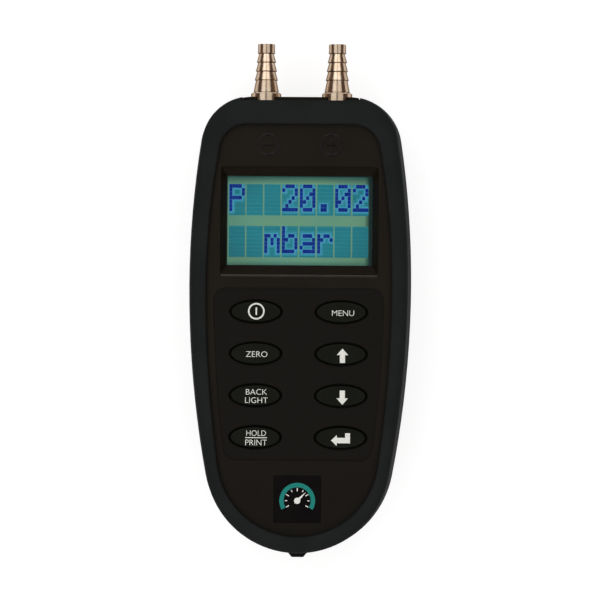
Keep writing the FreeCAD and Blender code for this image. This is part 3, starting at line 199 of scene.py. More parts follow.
def node(tree, kind, inputs=None, **settings):
    """Adds a node with its settings. Each input takes a value or another node's output."""
    added = tree.nodes.new(kind)
    for name, value in settings.items():
        setattr(added, name, value)
    for name, value in (inputs or {}).items():
        if isinstance(value, bpy.types.NodeSocket):
            tree.links.new(value, added.inputs[name])
        else:
            added.inputs[name].default_value = value
    return added


class Finish:
    """A material in the making, with its shader and the piece's own coordinates."""

    def __init__(self, name, **surface):
        self.material = bpy.data.materials.new(name)
        self.material.use_nodes = True
        self.tree = self.material.node_tree
        self.shader = self.tree.nodes["Principled BSDF"]
        self.place = self.add("ShaderNodeTexCoord").outputs["Object"]
        for socket, value in surface.items():
            self.set(socket.replace("_", " "), value)

    def add(self, kind, inputs=None, **settings):
        """Adds a node to this material."""
        return node(self.tree, kind, inputs, **settings)

    def set(self, socket, value):
        """Gives a socket of the shader a value, or links a node's output to it."""
        if isinstance(value, bpy.types.NodeSocket):
            self.tree.links.new(value, self.shader.inputs[socket])
        else:
            self.shader.inputs[socket].default_value = value

    def mottled(self, size, first, second):
        """A colour that drifts between two others in soft patches of a real size."""
        patches = self.add("ShaderNodeTexNoise", {"Vector": self.place, "Scale": 1 / size})
        share = self.add("ShaderNodeMapRange", {"Value": patches.outputs["Fac"], "From Min": 0.35,
                                                "From Max": 0.65})
        colours = {"Factor": share.outputs["Result"], "A": linear(first), "B": linear(second)}
        return self.add("ShaderNodeMix", colours, data_type="RGBA").outputs["Result"]

    def uneven_gloss(self, size, low, high):
        """Roughness that changes from one value to another in patches of a real size."""
        patches = self.add("ShaderNodeTexNoise", {"Vector": self.place, "Scale": 1 / size})
        spread = {"Value": patches.outputs["Fac"], "From Min": 0.3, "From Max": 0.7,
                  "To Min": low, "To Max": high}
        self.set("Roughness", self.add("ShaderNodeMapRange", spread).outputs["Result"])

    def backlit(self):
        """Light from behind the display, weaker towards its corners."""
        reach_x, reach_y = BACKLIGHT_REACH
        centred = self.add("ShaderNodeMapping", {
            "Vector": self.place, "Location": (0.0, -DISPLAY_MIDDLE / reach_y, 0.0),
            "Scale": (1 / reach_x, 1 / reach_y, 0.0),
        })
        away = self.add("ShaderNodeVectorMath", {0: centred.outputs["Vector"]}, operation="LENGTH")
        fade = self.add("ShaderNodeMapRange", {
            "Value": away.outputs["Value"], "From Min": 0.65, "From Max": 1.05,
            "To Min": BACKLIGHT, "To Max": BACKLIGHT * CORNER_SHARE,
        })
        self.set("Emission Strength", fade.outputs["Result"])

    def grained(self, size, depth, stretch=(1.0, 1.0, 1.0)):
        """Fine random relief with a real width and depth."""
        along = self.add("ShaderNodeMapping", {"Vector": self.place, "Scale": stretch})
        pits = self.add("ShaderNodeTexNoise", {"Vector": along.outputs["Vector"], "Scale": 1 / size,
                                               "Detail": 3.0})
        relief = self.add("ShaderNodeBump", {"Height": pits.outputs["Fac"], "Distance": depth,
                                             "Strength": 0.5})
        self.set("Normal", relief.outputs["Normal"])


def moulded_rubber():
    """Compression-moulded thermoplastic rubber: matte and nearly even, with a faint bloom and a skin of
    very small pits, drawn 0.9 mm wide so that they show."""
    finish = Finish("moulded_boot_rubber", IOR=1.5, Specular_IOR_Level=0.09)
    finish.set("Base Color", finish.mottled(14 * MM, "#1a1e1d", "#1f2221"))
    finish.uneven_gloss(7 * MM, 0.8, 0.9)
    finish.grained(0.9 * MM, 0.03 * MM)
    return finish.material


def textured_abs():
    """Injection-moulded ABS from a spark-eroded tool: brown-black and dull, with an even fine grain,
    drawn 0.7 mm wide so that it shows. Painted shade makes it a little darker towards its foot, and
    darker still in the sunk key field."""
    finish = Finish("spark_textured_abs", IOR=1.52, Specular_IOR_Level=0.1)
    axes = finish.add("ShaderNodeSeparateXYZ", {"Vector": finish.place})
    # Painted shade: the floor of the sunk key field gets a darker colour than the panel round it
    sunk_field_painted_shade = finish.add("ShaderNodeMath", {0: axes.outputs["Z"], 1: PANEL - FIELD_SINK, 2: 0.1 * MM},
                       operation="COMPARE")
    # Painted shade: the case's colour turns darker from 20 mm to 75 mm below the middle, towards its foot
    rubbed = finish.add("ShaderNodeMapRange", {"Value": axes.outputs["Y"], "From Min": -20 * MM,
                                               "From Max": -75 * MM})
    colours = {"Factor": rubbed.outputs["Result"], "A": finish.mottled(18 * MM, "#150f07", "#18120a"),
               "B": linear("#100b05")}
    colour_with_painted_foot_shade = finish.add("ShaderNodeMix", colours, data_type="RGBA")
    colours = {"Factor": sunk_field_painted_shade.outputs["Value"], "A": colour_with_painted_foot_shade.outputs["Result"], "B": linear("#0e0a05")}
    finish.set("Base Color", finish.add("ShaderNodeMix", colours, data_type="RGBA").outputs["Result"])
    finish.uneven_gloss(5 * MM, 0.4, 0.5)
    finish.grained(0.7 * MM, 0.03 * MM)
    return finish.material


def polished_abs_with_painted_shade():
    """The same ABS where the tool was polished: smooth, so it looks darker from above and its edges
    catch the light. Its base colour is also darker than the case's, which is painted shade, as of sunk
    grooves."""
    finish = Finish("polished_abs_with_painted_shade", IOR=1.52, Specular_IOR_Level=0.35)
    # Painted shade: a base colour darker than the case's, standing in for the shade of engraved grooves
    finish.set("Base Color", finish.mottled(3 * MM, "#080603", "#0c0905"))
    finish.uneven_gloss(2 * MM, 0.12, 0.18)
    return finish.material


def rubbed_abs():
    """The same ABS along an edge that fingers and cloths have rubbed smooth: brown-black, with a clear
    line of light on it."""
    finish = Finish("rubbed_abs", IOR=1.52, Specular_IOR_Level=0.42)
    finish.set("Base Color", finish.mottled(8 * MM, "#181109", "#1c150d"))
    finish.uneven_gloss(20 * MM, 0.22, 0.28)
    return finish.material


def key_plastic():
    """Satin hard-coated key caps: black with a green cast, smoother than the case round them."""
    finish = Finish("satin_key_plastic", Roughness=0.4, IOR=1.5, Specular_IOR_Level=0.1)
    finish.set("Base Color", finish.mottled(9 * MM, "#0a0d04", "#0e1107"))
    finish.grained(0.6 * MM, 0.012 * MM)
    return finish.material


def printed_ink(name, colour, thin):
    """Screen-printed ink: opaque and matte, a little thinner in small patches."""
    finish = Finish(name, Roughness=0.5, IOR=1.5, Specular_IOR_Level=0.25)
    finish.set("Base Color", finish.mottled(0.8 * MM, colour, thin))
    return finish.material


def clear_acrylic():
    """Polished cast acrylic: colourless, with a sharp faint reflection and very slight waves."""
    finish = Finish("clear_acrylic", Roughness=0.03, IOR=1.49, Transmission_Weight=1.0)
    finish.set("Base Color", linear("#f4fbfa"))
    finish.grained(15 * MM, 0.006 * MM)
    return finish.material


def dark_acrylic():
    """Polished acrylic dyed to pass only infrared light: it looks glossy black with a hint of purple."""
    finish = Finish("infrared_acrylic", Roughness=0.12, IOR=1.49)
    finish.set("Base Color", finish.mottled(4 * MM, "#0c0a0e", "#100d12"))
    return finish.material


def plated_brass():
    """Turned brass under thin nickel: warm grey going brown at a shallow angle, with fine rings from the
    tool, drawn 1 mm apart. At a scale of 1 a wave repeats every tau / 20."""
    finish = Finish("turned_nickel_brass", Metallic=1.0)
    finish.set("Base Color", finish.mottled(2.5 * MM, "#bea78f", "#c5b29e"))
    finish.set("Specular Tint", linear("#5a3c2a"))
    finish.uneven_gloss(2 * MM, 0.16, 0.22)
    pitch = 0.9865 * MM
    rings = finish.add("ShaderNodeTexWave", {"Vector": finish.place, "Scale": math.tau / 20 / pitch},
                       bands_direction="Y")
    turned = {"Height": rings.outputs["Fac"], "Distance": 0.002 * MM, "Strength": 0.5}
    finish.set("Normal", finish.add("ShaderNodeBump", turned).outputs["Normal"])
    return finish.material


def plated_steel(name, first, second, roughness):
    """Small plated steel parts: grey metal with faint cloudy changes in gloss."""
    finish = Finish(name, Metallic=1.0)
    finish.set("Base Color", finish.mottled(1.5 * MM, first, second))
    finish.uneven_gloss(1.0 * MM, roughness - 0.08, roughness + 0.1)
    finish.grained(0.5 * MM, 0.008 * MM)
    return finish.material


def knurled_brass():
    """Bright brass with a slanting knurl, 1.8 mm from ridge to ridge. At a scale of 1 a diagonal wave
    repeats every tau / 10 of x + y + z."""
    finish = Finish("knurled_brass", Metallic=1.0, Roughness=0.3)
    finish.set("Base Color", finish.mottled(1.2 * MM, "#b08a3e", "#c9a356"))
    pitch = 1.8225 * MM * math.sqrt(3)
    knurl = finish.add("ShaderNodeTexWave", {"Vector": finish.place, "Scale": math.tau / 10 / pitch},
                       bands_direction="DIAGONAL")
    ridges = {"Height": knurl.outputs["Fac"], "Distance": 0.1 * MM, "Strength": 0.5}
    finish.set("Normal", finish.add("ShaderNodeBump", ridges).outputs["Normal"])
    return finish.material


def painted_bezel():
    """Thin stamped steel under black lacquer: smooth and half gloss."""
    finish = Finish("lacquered_bezel", Roughness=0.45, IOR=1.5, Specular_IOR_Level=0.2)
    finish.set("Base Color", finish.mottled(6 * MM, "#050505", "#090909"))
    return finish.material


def milky_diffuser():
    """Acrylic with a white filler, which spreads the light of the lamps in its edge."""
    finish = Finish("milky_diffuser", Roughness=0.4, IOR=1.49, Subsurface_Weight=0.3)
    finish.set("Base Color", finish.mottled(10 * MM, "#dfe6df", "#eef2ec"))
    finish.set("Subsurface Radius", (1.5 * MM, 1.5 * MM, 1.5 * MM))
    return finish.material


def soft_rubber():
    """Moulded seal rubber: dull black with fine pits."""
    finish = Finish("seal_rubber", Roughness=0.75, IOR=1.5)
    finish.set("Base Color", finish.mottled(3 * MM, "#0a0a0a", "#111111"))
    finish.grained(0.5 * MM, 0.02 * MM)
    return finish.material


def silicone_tube():
    """Extruded silicone: milky and soft-looking, with faint lines along its length."""
    finish = Finish("milky_silicone", Roughness=0.35, IOR=1.41)
    finish.set("Base Color", finish.mottled(6 * MM, "#d5d3c8", "#e4e2d8"))
    finish.grained(0.7 * MM, 0.015 * MM, stretch=(1.0, 0.1, 1.0))
    return finish.material


def board_laminate():
    """Glass-epoxy board under green mask: parallel tracks show as slightly raised lighter bands,
    1.3 mm apart."""
    finish = Finish("green_solder_mask", Roughness=0.35, IOR=1.5)
    tracks = finish.add("ShaderNodeTexBrick", {
        "Vector": finish.place, "Scale": 1.0, "Mortar Size": 0.3 * MM, "Mortar Smooth": 0.2,
        "Brick Width": 9 * MM, "Row Height": 1.3 * MM,
        "Color1": linear("#0f5a2c"), "Color2": linear("#0d5229"), "Mortar": linear("#1d7a41"),
    })
    finish.set("Base Color", tracks.outputs["Color"])
    copper = {"Height": tracks.outputs["Fac"], "Distance": 0.035 * MM, "Strength": 0.5}
    finish.set("Normal", finish.add("ShaderNodeBump", copper).outputs["Normal"])
    return finish.material


def component_plastic():
    """Moulded epoxy and nylon of small electronic parts: dull charcoal with a fine grain."""
    finish = Finish("component_plastic", Roughness=0.6, IOR=1.5)
    finish.set("Base Color", finish.mottled(2 * MM, "#141414", "#1e1e1e"))
    finish.grained(0.4 * MM, 0.02 * MM)
    return finish.material


def cell_jacket():
    """Shrunk plastic sleeve of a dry cell: a glossy dark body with a copper-coloured band at one end."""
    finish = Finish("cell_sleeve", Roughness=0.3, IOR=1.5)
    low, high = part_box("battery_cell_1")
    plain_share = 0.7
    band = low.y + (high.y - low.y) * plain_share
    axes = finish.add("ShaderNodeSeparateXYZ", {"Vector": finish.place})
    above = finish.add("ShaderNodeMath", {0: axes.outputs["Y"], 1: band}, operation="GREATER_THAN")
    colours = {"Factor": above.outputs["Value"], "A": finish.mottled(4 * MM, "#15161c", "#1b1c22"),
               "B": linear("#a8683a")}
    finish.set("Base Color", finish.add("ShaderNodeMix", colours, data_type="RGBA").outputs["Result"])
    return finish.material


def badge_film():
    """Printed polycarbonate film on the badge plate: deep black and smooth, with a soft gloss."""
    finish = Finish("badge_film", Roughness=0.3, IOR=1.55, Specular_IOR_Level=0.05)
    finish.set("Base Color", finish.mottled(5 * MM, "#080505", "#0d0909"))
    finish.grained(2.5 * MM, 0.006 * MM)
    return finish.material


def lit_display():
    """Liquid crystal over a green-blue backlight, round its character cells: pale green, darker above them
    with painted shade from the well's upper wall, dimmer below them, and nearly dark at the right-hand end
    with painted shade."""
    finish = Finish("lit_liquid_crystal", **CRYSTAL)
    finish.backlit()
    axes = finish.add("ShaderNodeSeparateXYZ", {"Vector": finish.place})
    # Painted shade: darker crystal above the cells, where the well's upper wall shades it
    top_painted_shade = finish.add("ShaderNodeMapRange", {"Value": axes.outputs["Y"], "From Min": TOP_PAINTED_SHADE[0],
                                             "From Max": TOP_PAINTED_SHADE[1]})
    colours = {"Factor": top_painted_shade.outputs["Result"], "A": finish.mottled(16 * MM, "#6e9b7c", "#659882"),
               "B": linear("#2a5450")}
    shaded = finish.add("ShaderNodeMix", colours, data_type="RGBA")
    fall = finish.add("ShaderNodeMapRange", {"Value": axes.outputs["Y"], "From Min": FOOT_FADE[0],
                                             "From Max": FOOT_FADE[1]})
    colours = {"Factor": fall.outputs["Result"], "A": shaded.outputs["Result"], "B": linear("#3f6a62")}
    shaded = finish.add("ShaderNodeMix", colours, data_type="RGBA")
    # Painted shade: the crystal turns nearly dark towards the right-hand end
    far = finish.add("ShaderNodeMapRange", {"Value": axes.outputs["X"], "From Min": END_PAINTED_SHADE[0],
                                            "From Max": END_PAINTED_SHADE[1]})
    colours = {"Factor": far.outputs["Result"], "A": shaded.outputs["Result"], "B": linear("#142b2a")}
    finish.set("Emission Color", finish.add("ShaderNodeMix", colours, data_type="RGBA").outputs["Result"])
    finish.set("Base Color", linear("#0c1c1c"))
    return finish.material


def lit_cells():
    """A character cell at rest: teal, with paler lines where its rows and columns of dots meet."""
    finish = Finish("teal_crystal", **CRYSTAL)
    finish.backlit()
    shifted = finish.add("ShaderNodeMapping", {
        "Vector": finish.place, "Location": (-CELLS_LEFT, -(DISPLAY_MIDDLE + ROW_GAP / 2), 0.0),
    })
    dots = finish.add("ShaderNodeTexBrick", {
        "Vector": shifted.outputs["Vector"], "Scale": 1.0, "Mortar Size": 0.09 * MM, "Mortar Smooth": 0.6,
        "Brick Width": CELL_PITCH, "Row Height": DOT_PITCH_Y,
        "Color1": linear("#207e8b"), "Color2": linear("#1e7a88"), "Mortar": linear("#3d9298"),
    }, offset=0.0)
    finish.set("Emission Color", dots.outputs["Color"])
    finish.set("Base Color", linear("#0c1c1c"))
    return finish.material


def blue_glow(name, first, second):
    """Crystal round a dark dot, where a little of its blue spreads."""
    finish = Finish(name, Emission_Strength=0.95, **CRYSTAL)
    finish.set("Emission Color", finish.mottled(3 * MM, first, second))
    finish.set("Base Color", linear("#0c1c24"))
    return finish.material


def dark_dots():
    """Switched-on crystal: it stops the backlight and turns it deep blue."""
    finish = Finish("dark_crystal", Emission_Strength=0.9, **CRYSTAL)
    finish.set("Emission Color", finish.mottled(3 * MM, "#00207c", "#002c90"))
    finish.set("Base Color", linear("#04061c"))
    return finish.material


FINISHES = {
    "boot_rubber": moulded_rubber(),
    "case_plastic": textured_abs(),
    "key_plastic": key_plastic(),
    "window_plastic": clear_acrylic(),
    "dark_window_plastic": dark_acrylic(),
    "nipple_metal": plated_brass(),
    "seal_rubber": soft_rubber(),
    "hardware_steel": plated_steel("zinc_plated_steel", "#a9a8a2", "#c2c1bc", 0.38),
    "insert_brass": knurled_brass(),
    "contact_nickel": plated_steel("nickel_plated_spring", "#b8b5ab", "#cfccc4", 0.25),
    "cell_jacket": cell_jacket(),
    "display_glass": lit_display(),
    "bezel_steel": painted_bezel(),
    "diffuser_plastic": milky_diffuser(),
    "board_laminate": board_laminate(),
    "part_plastic": component_plastic(),
    "tube_silicone": silicone_tube(),
    "badge_plate": badge_film(),
}
MARK_PLASTIC_WITH_PAINTED_SHADE = polished_abs_with_painted_shade()
EDGE_PLASTIC = rubbed_abs()
WHITE_INK = printed_ink("white_key_ink", "#f0f1ea", "#e0e1d9")
BADGE_WHITE = printed_ink("white_badge_ink", "#f2f2ee", "#e6e6e0")
BADGE_TEAL = printed_ink("teal_badge_ink", "#08837a", "#067a70")
DISPLAY_CELLS = lit_cells()
DISPLAY_HALO = blue_glow("faintly_glowing_crystal", "#2f879c", "#328ca2")
DISPLAY_GLOW = blue_glow("glowing_crystal", "#4595b6", "#4e9dba")
DISPLAY_DOTS = dark_dots()


def dress_frame():
    """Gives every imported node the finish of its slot."""
    for part in frame["record"]["subparts"]:
        mesh = frame["nodes"][part["node"]].data
        mesh.materials.clear()
        mesh.materials.append(FINISHES[part["material_slot"]])


def add_piece(name, mesh, material, body=BODY):
    """Puts a finished mesh in the scene, to move with a body."""
    mesh.materials.clear()
    mesh.materials.append(material)
    piece = bpy.data.objects.new(name, mesh)
    bpy.context.scene.collection.objects.link(piece)
    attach(piece, body)


def mesh_from(shape, name):
    """The mesh of a bmesh, with its faces pointing outwards."""
    bmesh.ops.recalc_face_normals(shape, faces=shape.faces)
    mesh = bpy.data.meshes.new(name)
    shape.to_mesh(mesh)
    shape.free()
    return mesh


def add_slab(shape, corners, low, high):
    """A flat closed shape through its corners, from one level up to another."""
    face = shape.faces.new([shape.verts.new((x, y, low)) for x, y in corners])
    risen = bmesh.ops.extrude_face_region(shape, geom=[face])["geom"]
    verts = [item for item in risen if isinstance(item, bmesh.types.BMVert)]
    bmesh.ops.translate(shape, verts=verts, vec=(0, 0, high - low))


def add_box(shape, middle, size, turn=0.0):
    """A box by its middle and its three widths, turned about Z."""
    place = Matrix.Translation(middle) @ Matrix.Rotation(turn, 4, "Z") @ Matrix.Diagonal((*size, 1))
    bmesh.ops.create_cube(shape, size=1.0, matrix=place)


def add_ring(shape, middle, inner, outer, low, high, start=0.0, sweep=math.tau, steps=64):
    """A flat ring, or the part of one that starts at an angle and sweeps through another."""
    corners = [(inner, low), (outer, low), (outer, high), (inner, high)]
    across = Vector((math.cos(start), math.sin(start), 0))
    centre = Vector((middle[0], middle[1], 0))
    verts = [shape.verts.new(centre + across * radius + Vector((0, 0, level))) for radius, level in corners]
    edges = [shape.edges.new((verts[place], verts[(place + 1) % 4])) for place in range(4)]
    closed = abs(sweep - math.tau) < 1e-6
    spun = bmesh.ops.spin(shape, geom=verts + edges, cent=centre, axis=(0, 0, 1), angle=sweep, steps=steps,
                          use_merge=closed)
    if not closed:
        shape.faces.new(verts)
        shape.faces.new([item for item in spun["geom_last"] if isinstance(item, bmesh.types.BMVert)])


def words_mesh(words, width, height, middle):
    """Lettering as a thin mesh, fitted to a width and a cap height about its middle. Its strokes are a
    little thinner than the font's."""
    curve = bpy.data.curves.new(words, "FONT")
    curve.body = words
    curve.extrude = 0.5
    curve.offset = -0.01
    curve.resolution_u = 4
    holder = bpy.data.objects.new(words, curve)
    bpy.context.scene.collection.objects.link(holder)
    bpy.context.view_layer.update()
    mesh = bpy.data.meshes.new_from_object(holder)
    bpy.data.objects.remove(holder)
    low = Vector(map(min, *(vert.co for vert in mesh.vertices)))
    high = Vector(map(max, *(vert.co for vert in mesh.vertices)))
    size = high - low
    scale = Matrix.Diagonal((width / size.x, height / size.y, INK / size.z, 1))
    mesh.transform(Matrix.Translation(middle) @ scale @ Matrix.Translation(-(low + high) / 2))
    return mesh


def key_middle(key):
    """Where a key's print is centred: on its top, a little off the middle, as it came from the press."""
    low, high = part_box(key)
    shift_x, shift_y = PRINT_SHIFTS[key]
    return Vector(((low.x + high.x) / 2 + shift_x * MM, (low.y + high.y) / 2 + shift_y * MM, KEY_TOP))


def print_words(key, lines):
    """One or two words on a key."""
    middle = key_middle(key)
    for index, word in enumerate(lines):
        place = middle + Vector((0, LINE_OFFSETS.get(word, 0.0), 0)) * MM
        mesh = words_mesh(word, WORD_WIDTHS[word] * MM, CAP_HEIGHT, place)
        add_piece(f"{key}_print_{index + 1}", mesh, WHITE_INK, key)


def print_shape(key, shape):
    """A printed sign, drawn about the origin, on a key."""
    mesh = mesh_from(shape, f"{key}_sign")
    mesh.transform(Matrix.Translation(key_middle(key)))
    add_piece(f"{key}_sign", mesh, WHITE_INK, key)


def print_keys():
    """White print: a power sign, six words, the line between two of them, and three arrows."""
    print_words("zero_key", ["ZERO"])
    print_words("menu_key", ["MENU"])
    print_words("backlight_key", ["BACK", "LIGHT"])
    print_words("hold_print_key", ["HOLD", "PRINT"])

    line = bmesh.new()
    add_box(line, (0, 0, 0), WORD_LINE)
    print_shape("hold_print_key", line)

    power = bmesh.new()
    add_ring(power, (0, 0), *POWER_RING, -INK / 2, INK / 2)
    add_box(power, (0, 0, 0), POWER_STROKE)
    print_shape("power_key", power)

    arrows = (("up_key", UP_ARROW, 1), ("down_key", UP_ARROW, -1), ("enter_key", ENTER_ARROW, 1))
    for key, arrow, way in arrows:
        shape = bmesh.new()
        add_slab(shape, [(x * MM, y * MM * way) for x, y in arrow], -INK / 2, INK / 2)
        print_shape(key, shape)


def add_patch(shape, x, y, size, cell, level):
    """A thin square about a dot, cut off where its cell ends. A cell is its left, right, foot and top."""
    left, right = max(x - size / 2, cell[0]), min(x + size / 2, cell[1])
    foot, top = max(y - size / 2, cell[2]), min(y + size / 2, cell[3])
    add_box(shape, ((left + right) / 2, (foot + top) / 2, level), (right - left, top - foot, LAYER))


def draw_reading():
    """The display's cells and its characters, dot by dot, in thin layers on the glass: teal cells, a
    blue glow in two steps that stays inside each cell, the dark dots, and the black border."""
    cells, halo, glow, dots, border = (bmesh.new() for _ in range(5))
    levels = [GLASS_HIGH.z + LAYER * (step + 0.5) for step in range(4)]
    cell_level, halo_level, glow_level, dot_level = levels
    for row, text in enumerate(READING):
        top = CELLS_TOP if row == 0 else DISPLAY_MIDDLE - ROW_GAP / 2
        for column, character in enumerate(text):
            left = CELLS_LEFT + CELL_PITCH * column
            right = min(left + CELL_WIDTH, CELLS_RIGHT)
            cell = (left, right, top - ROW_HEIGHT, top)
            middle = ((left + right) / 2, top - ROW_HEIGHT / 2, cell_level)
            add_box(cells, middle, (right - left, ROW_HEIGHT, LAYER))
            first = left + (CELL_WIDTH - DOT_PITCH_X * 4) / 2
            for line, pattern in enumerate(CHARACTERS.get(character, [])):
                for place, dot in enumerate(pattern):
                    if dot == "#":
                        x = first + DOT_PITCH_X * place
                        y = top - DOT_PITCH_Y * (line + 0.5)
                        add_patch(halo, x, y, HALO_SIZE, cell, halo_level)
                        add_patch(glow, x, y, GLOW_SIZE, cell, glow_level)
                        add_box(dots, (x, y, dot_level), (DOT_WIDTH, DOT_HEIGHT, LAYER))
    for side in (-1, 1):
        x = (LIT_HALF_WIDTH + BORDER_WIDTH / 2) * side
        y = DISPLAY_MIDDLE + (LIT_HALF_HEIGHT + BORDER_WIDTH / 2) * side
        across = (LIT_HALF_WIDTH + BORDER_WIDTH) * 2
        add_box(border, (x, DISPLAY_MIDDLE, dot_level), (BORDER_WIDTH, LIT_HALF_HEIGHT * 2, LAYER))
        add_box(border, (0, y, dot_level), (across, BORDER_WIDTH, LAYER))
    layers = (("display_border", border, FINISHES["bezel_steel"]), ("display_cells", cells, DISPLAY_CELLS),
              ("display_halo", halo, DISPLAY_HALO), ("display_glow", glow, DISPLAY_GLOW),
              ("display_characters", dots, DISPLAY_DOTS))
    for name, shape, material in layers:
        add_piece(name, mesh_from(shape, name), material)


def mould_marks():
    """Raised minus and plus signs in rings, beside the nipples that they name."""
    for name, x in (("minus_mark", -MARK_X), ("plus_mark", MARK_X)):
        shape = bmesh.new()
        add_ring(shape, (x, MARK_Y), MARK_RADIUS - MARK_WIDTH / 2, MARK_RADIUS + MARK_WIDTH / 2,
                 PANEL - MARK_RISE, PANEL + MARK_RISE)
        add_box(shape, (x, MARK_Y, PANEL), (MARK_BAR, MARK_WIDTH, FIRST_BAR_THICKNESS))
        if name == "plus_mark":
            add_box(shape, (x, MARK_Y, PANEL), (MARK_WIDTH, MARK_BAR, SECOND_BAR_THICKNESS))
        bmesh.ops.bevel(shape, geom=shape.edges, offset=MARK_EDGE, affect="EDGES", segments=3, profile=0.5,
                        material=-1)
        add_piece(name, mesh_from(shape, name), MARK_PLASTIC_WITH_PAINTED_SHADE)


def polish_well_edge():
    """The rounded bead along the foot of the display well, rubbed smooth, which catches the light."""
    shape = bmesh.new()
    add_box(shape, BEAD_MIDDLE, (WELL_WIDTH, BEAD_WIDTH, BEAD_WIDTH))
    bmesh.ops.bevel(shape, geom=shape.edges, offset=BEAD_EDGE, affect="EDGES", segments=6, profile=0.5,
                    material=-1)
    add_piece("well_foot_bead", mesh_from(shape, "well_foot_bead"), EDGE_PLASTIC)


def print_badge():
    """A plain pressure dial on the badge: an open teal scale with white marks and a white pointer."""
    middle = (BADGE_LOW + BADGE_HIGH) / 2
    low = BADGE_HIGH.z - INK / 2
    high = BADGE_HIGH.z + INK / 2
    dial = (middle.x, middle.y - DIAL_DROP)

    scale = bmesh.new()
    add_ring(scale, dial, SCALE_INNER, SCALE_OUTER, low, high, SCALE_START, SCALE_SWEEP)
    add_piece("badge_scale", mesh_from(scale, "badge_scale"), BADGE_TEAL)

    marks = bmesh.new()
    for step in range(SCALE_STEPS + 1):
        angle = SCALE_START + SCALE_SWEEP * step / SCALE_STEPS
        x = dial[0] + MARKS_RADIUS * math.cos(angle)
        y = dial[1] + MARKS_RADIUS * math.sin(angle)
        length = LONG_MARK if step % 2 == 0 else SHORT_MARK
        add_box(marks, (x, y, (low + high) / 2), (length, LINE_WIDTH, INK), angle)
    along = Vector((math.cos(POINTER_ANGLE), math.sin(POINTER_ANGLE)))
    side = Vector((-along.y, along.x))
    corners = [Vector(dial) + along * POINTER_REACH, Vector(dial) + side * POINTER_HALF_WIDTH,
               Vector(dial) - along * POINTER_TAIL, Vector(dial) - side * POINTER_HALF_WIDTH]
    add_slab(marks, corners, low, high)
    add_ring(marks, dial, *HUB, low, high + INK / 2, steps=32)
    add_piece("badge_marks", mesh_from(marks, "badge_marks"), BADGE_WHITE)


def aimed(place, target, roll=0.0):
    """The matrix of something that looks from a place at a target, with +Y up in its view."""
    back = (place - target).normalized()
    right = Vector((0, 1, 0)).cross(back).normalized()
    turn = Matrix((right, back.cross(right), back)).transposed().to_4x4()
    return Matrix.Translation(place) @ turn @ Matrix.Rotation(roll, 4, "Z")


def white_table():
    """A matte white lacquered table. To the camera, to metal and to clear parts it is lifted to white
    near the object, where it keeps the shadow, and it is plain white further off."""
    material = bpy.data.materials.new("white_table")
    material.use_nodes = True
    tree = material.node_tree
    shader = tree.nodes["Principled BSDF"]
    shader.inputs["Base Color"].default_value = linear("#a8a8a8")
    shader.inputs["Roughness"].default_value = 0.9
    shader.inputs["Specular IOR Level"].default_value = 0.0
    path = node(tree, "ShaderNodeLightPath")
    seen = node(tree, "ShaderNodeMath", {0: path.outputs["Is Camera Ray"],
                                         1: path.outputs["Is Glossy Ray"]}, operation="MAXIMUM")
    seen = node(tree, "ShaderNodeMath", {0: seen.outputs["Value"],
                                         1: path.outputs["Is Transmission Ray"]}, operation="MAXIMUM")
    lift = node(tree, "ShaderNodeEmission", {"Color": linear("#ffffff"), "Strength": FLOOR_LIFT})
    lifted = node(tree, "ShaderNodeAddShader", {0: shader.outputs["BSDF"], 1: lift.outputs["Emission"]})
    far = node(tree, "ShaderNodeEmission", {"Color": linear("#ffffff"), "Strength": 1.0})
    away = node(tree, "ShaderNodeVectorMath", {0: node(tree, "ShaderNodeTexCoord").outputs["Object"]},
                operation="LENGTH")
    fade = node(tree, "ShaderNodeMapRange", {"Value": away.outputs["Value"], "From Min": FLOOR_FADE[0],
                                             "From Max": FLOOR_FADE[1]})
    pale = node(tree, "ShaderNodeMixShader", {0: fade.outputs["Result"], 1: lifted.outputs["Shader"],
                                              2: far.outputs["Emission"]})
    mix = node(tree, "ShaderNodeMixShader", {0: seen.outputs["Value"], 1: shader.outputs["BSDF"],
                                             2: pale.outputs["Shader"]})
    tree.links.new(mix.outputs["Shader"], tree.nodes["Material Output"].inputs["Surface"])
    return material


def lay_floor():
    """The table that the object lies on, a hair under it."""
    shape = bmesh.new()
    bmesh.ops.create_grid(shape, x_segments=2, y_segments=2, size=FLOOR_REACH)
    bmesh.ops.translate(shape, verts=shape.verts, vec=(0, 0, -FLOOR_GAP))
    mesh = mesh_from(shape, "floor")
    mesh.materials.append(white_table())
    floor = bpy.data.objects.new("floor", mesh)
    bpy.context.scene.collection.objects.link(floor)


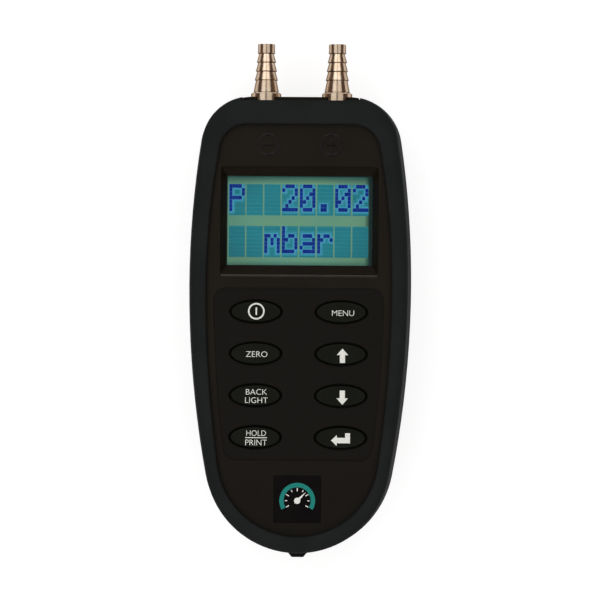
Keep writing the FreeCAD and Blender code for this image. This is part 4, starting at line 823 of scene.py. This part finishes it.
def add_softbox(name, tilt, turn, distance, size, power):
    """A large lamp over the object, tilted from straight above towards one side."""
    lamp = bpy.data.lights.new(name, "AREA")
    lamp.shape = "RECTANGLE"
    lamp.size, lamp.size_y = size
    lamp.energy = power
    holder = bpy.data.objects.new(name, lamp)
    bpy.context.scene.collection.objects.link(holder)
    target = Vector((0, 0, PANEL))
    tilt = math.radians(tilt)
    turn = math.radians(turn)
    away = Vector((math.sin(tilt) * math.cos(turn), math.sin(tilt) * math.sin(turn), math.cos(tilt)))
    holder.matrix_world = aimed(target + away * distance, target)


def light_studio():
    """Two tall softboxes either side of the camera, one beyond the nipples, a weak one beyond the foot, and
    a dim room, warmer and a little lighter towards its floor."""
    for name, settings in SOFTBOXES.items():
        add_softbox(name, *settings)

    world = bpy.data.worlds.new("room")
    world.use_nodes = True
    bpy.context.scene.world = world
    tree = world.node_tree
    direction = node(tree, "ShaderNodeTexCoord").outputs["Generated"]
    axes = node(tree, "ShaderNodeSeparateXYZ", {"Vector": direction})
    height = node(tree, "ShaderNodeMapRange", {"Value": axes.outputs["Z"], "From Min": 0.0,
                                               "From Max": 0.8})
    shade = node(tree, "ShaderNodeMix", {"Factor": height.outputs["Result"], "A": linear("#7a6152"),
                                         "B": linear("#3f3f3f")}, data_type="RGBA")
    tree.links.new(shade.outputs["Result"], tree.nodes["Background"].inputs["Color"])
    tree.nodes["Background"].inputs["Strength"].default_value = 1.0


def place_camera():
    """The photograph's view: from above, a little to the right, through a long lens."""
    lens = bpy.data.cameras.new("camera")
    lens.sensor_width = SENSOR_WIDTH
    distance = (CAMERA_PLACE - CAMERA_TARGET).length
    lens.lens = SENSOR_WIDTH * distance / FRAME_WIDTH
    camera = bpy.data.objects.new("camera", lens)
    bpy.context.scene.collection.objects.link(camera)
    camera.matrix_world = aimed(CAMERA_PLACE, CAMERA_TARGET, roll=CAMERA_ROLL)
    bpy.context.scene.camera = camera


place_camera()
lay_floor()
light_studio()
bpy.context.scene.view_settings.view_transform = "Standard"

dress_frame()
print_keys()
draw_reading()
mould_marks()
polish_well_edge()
print_badge()
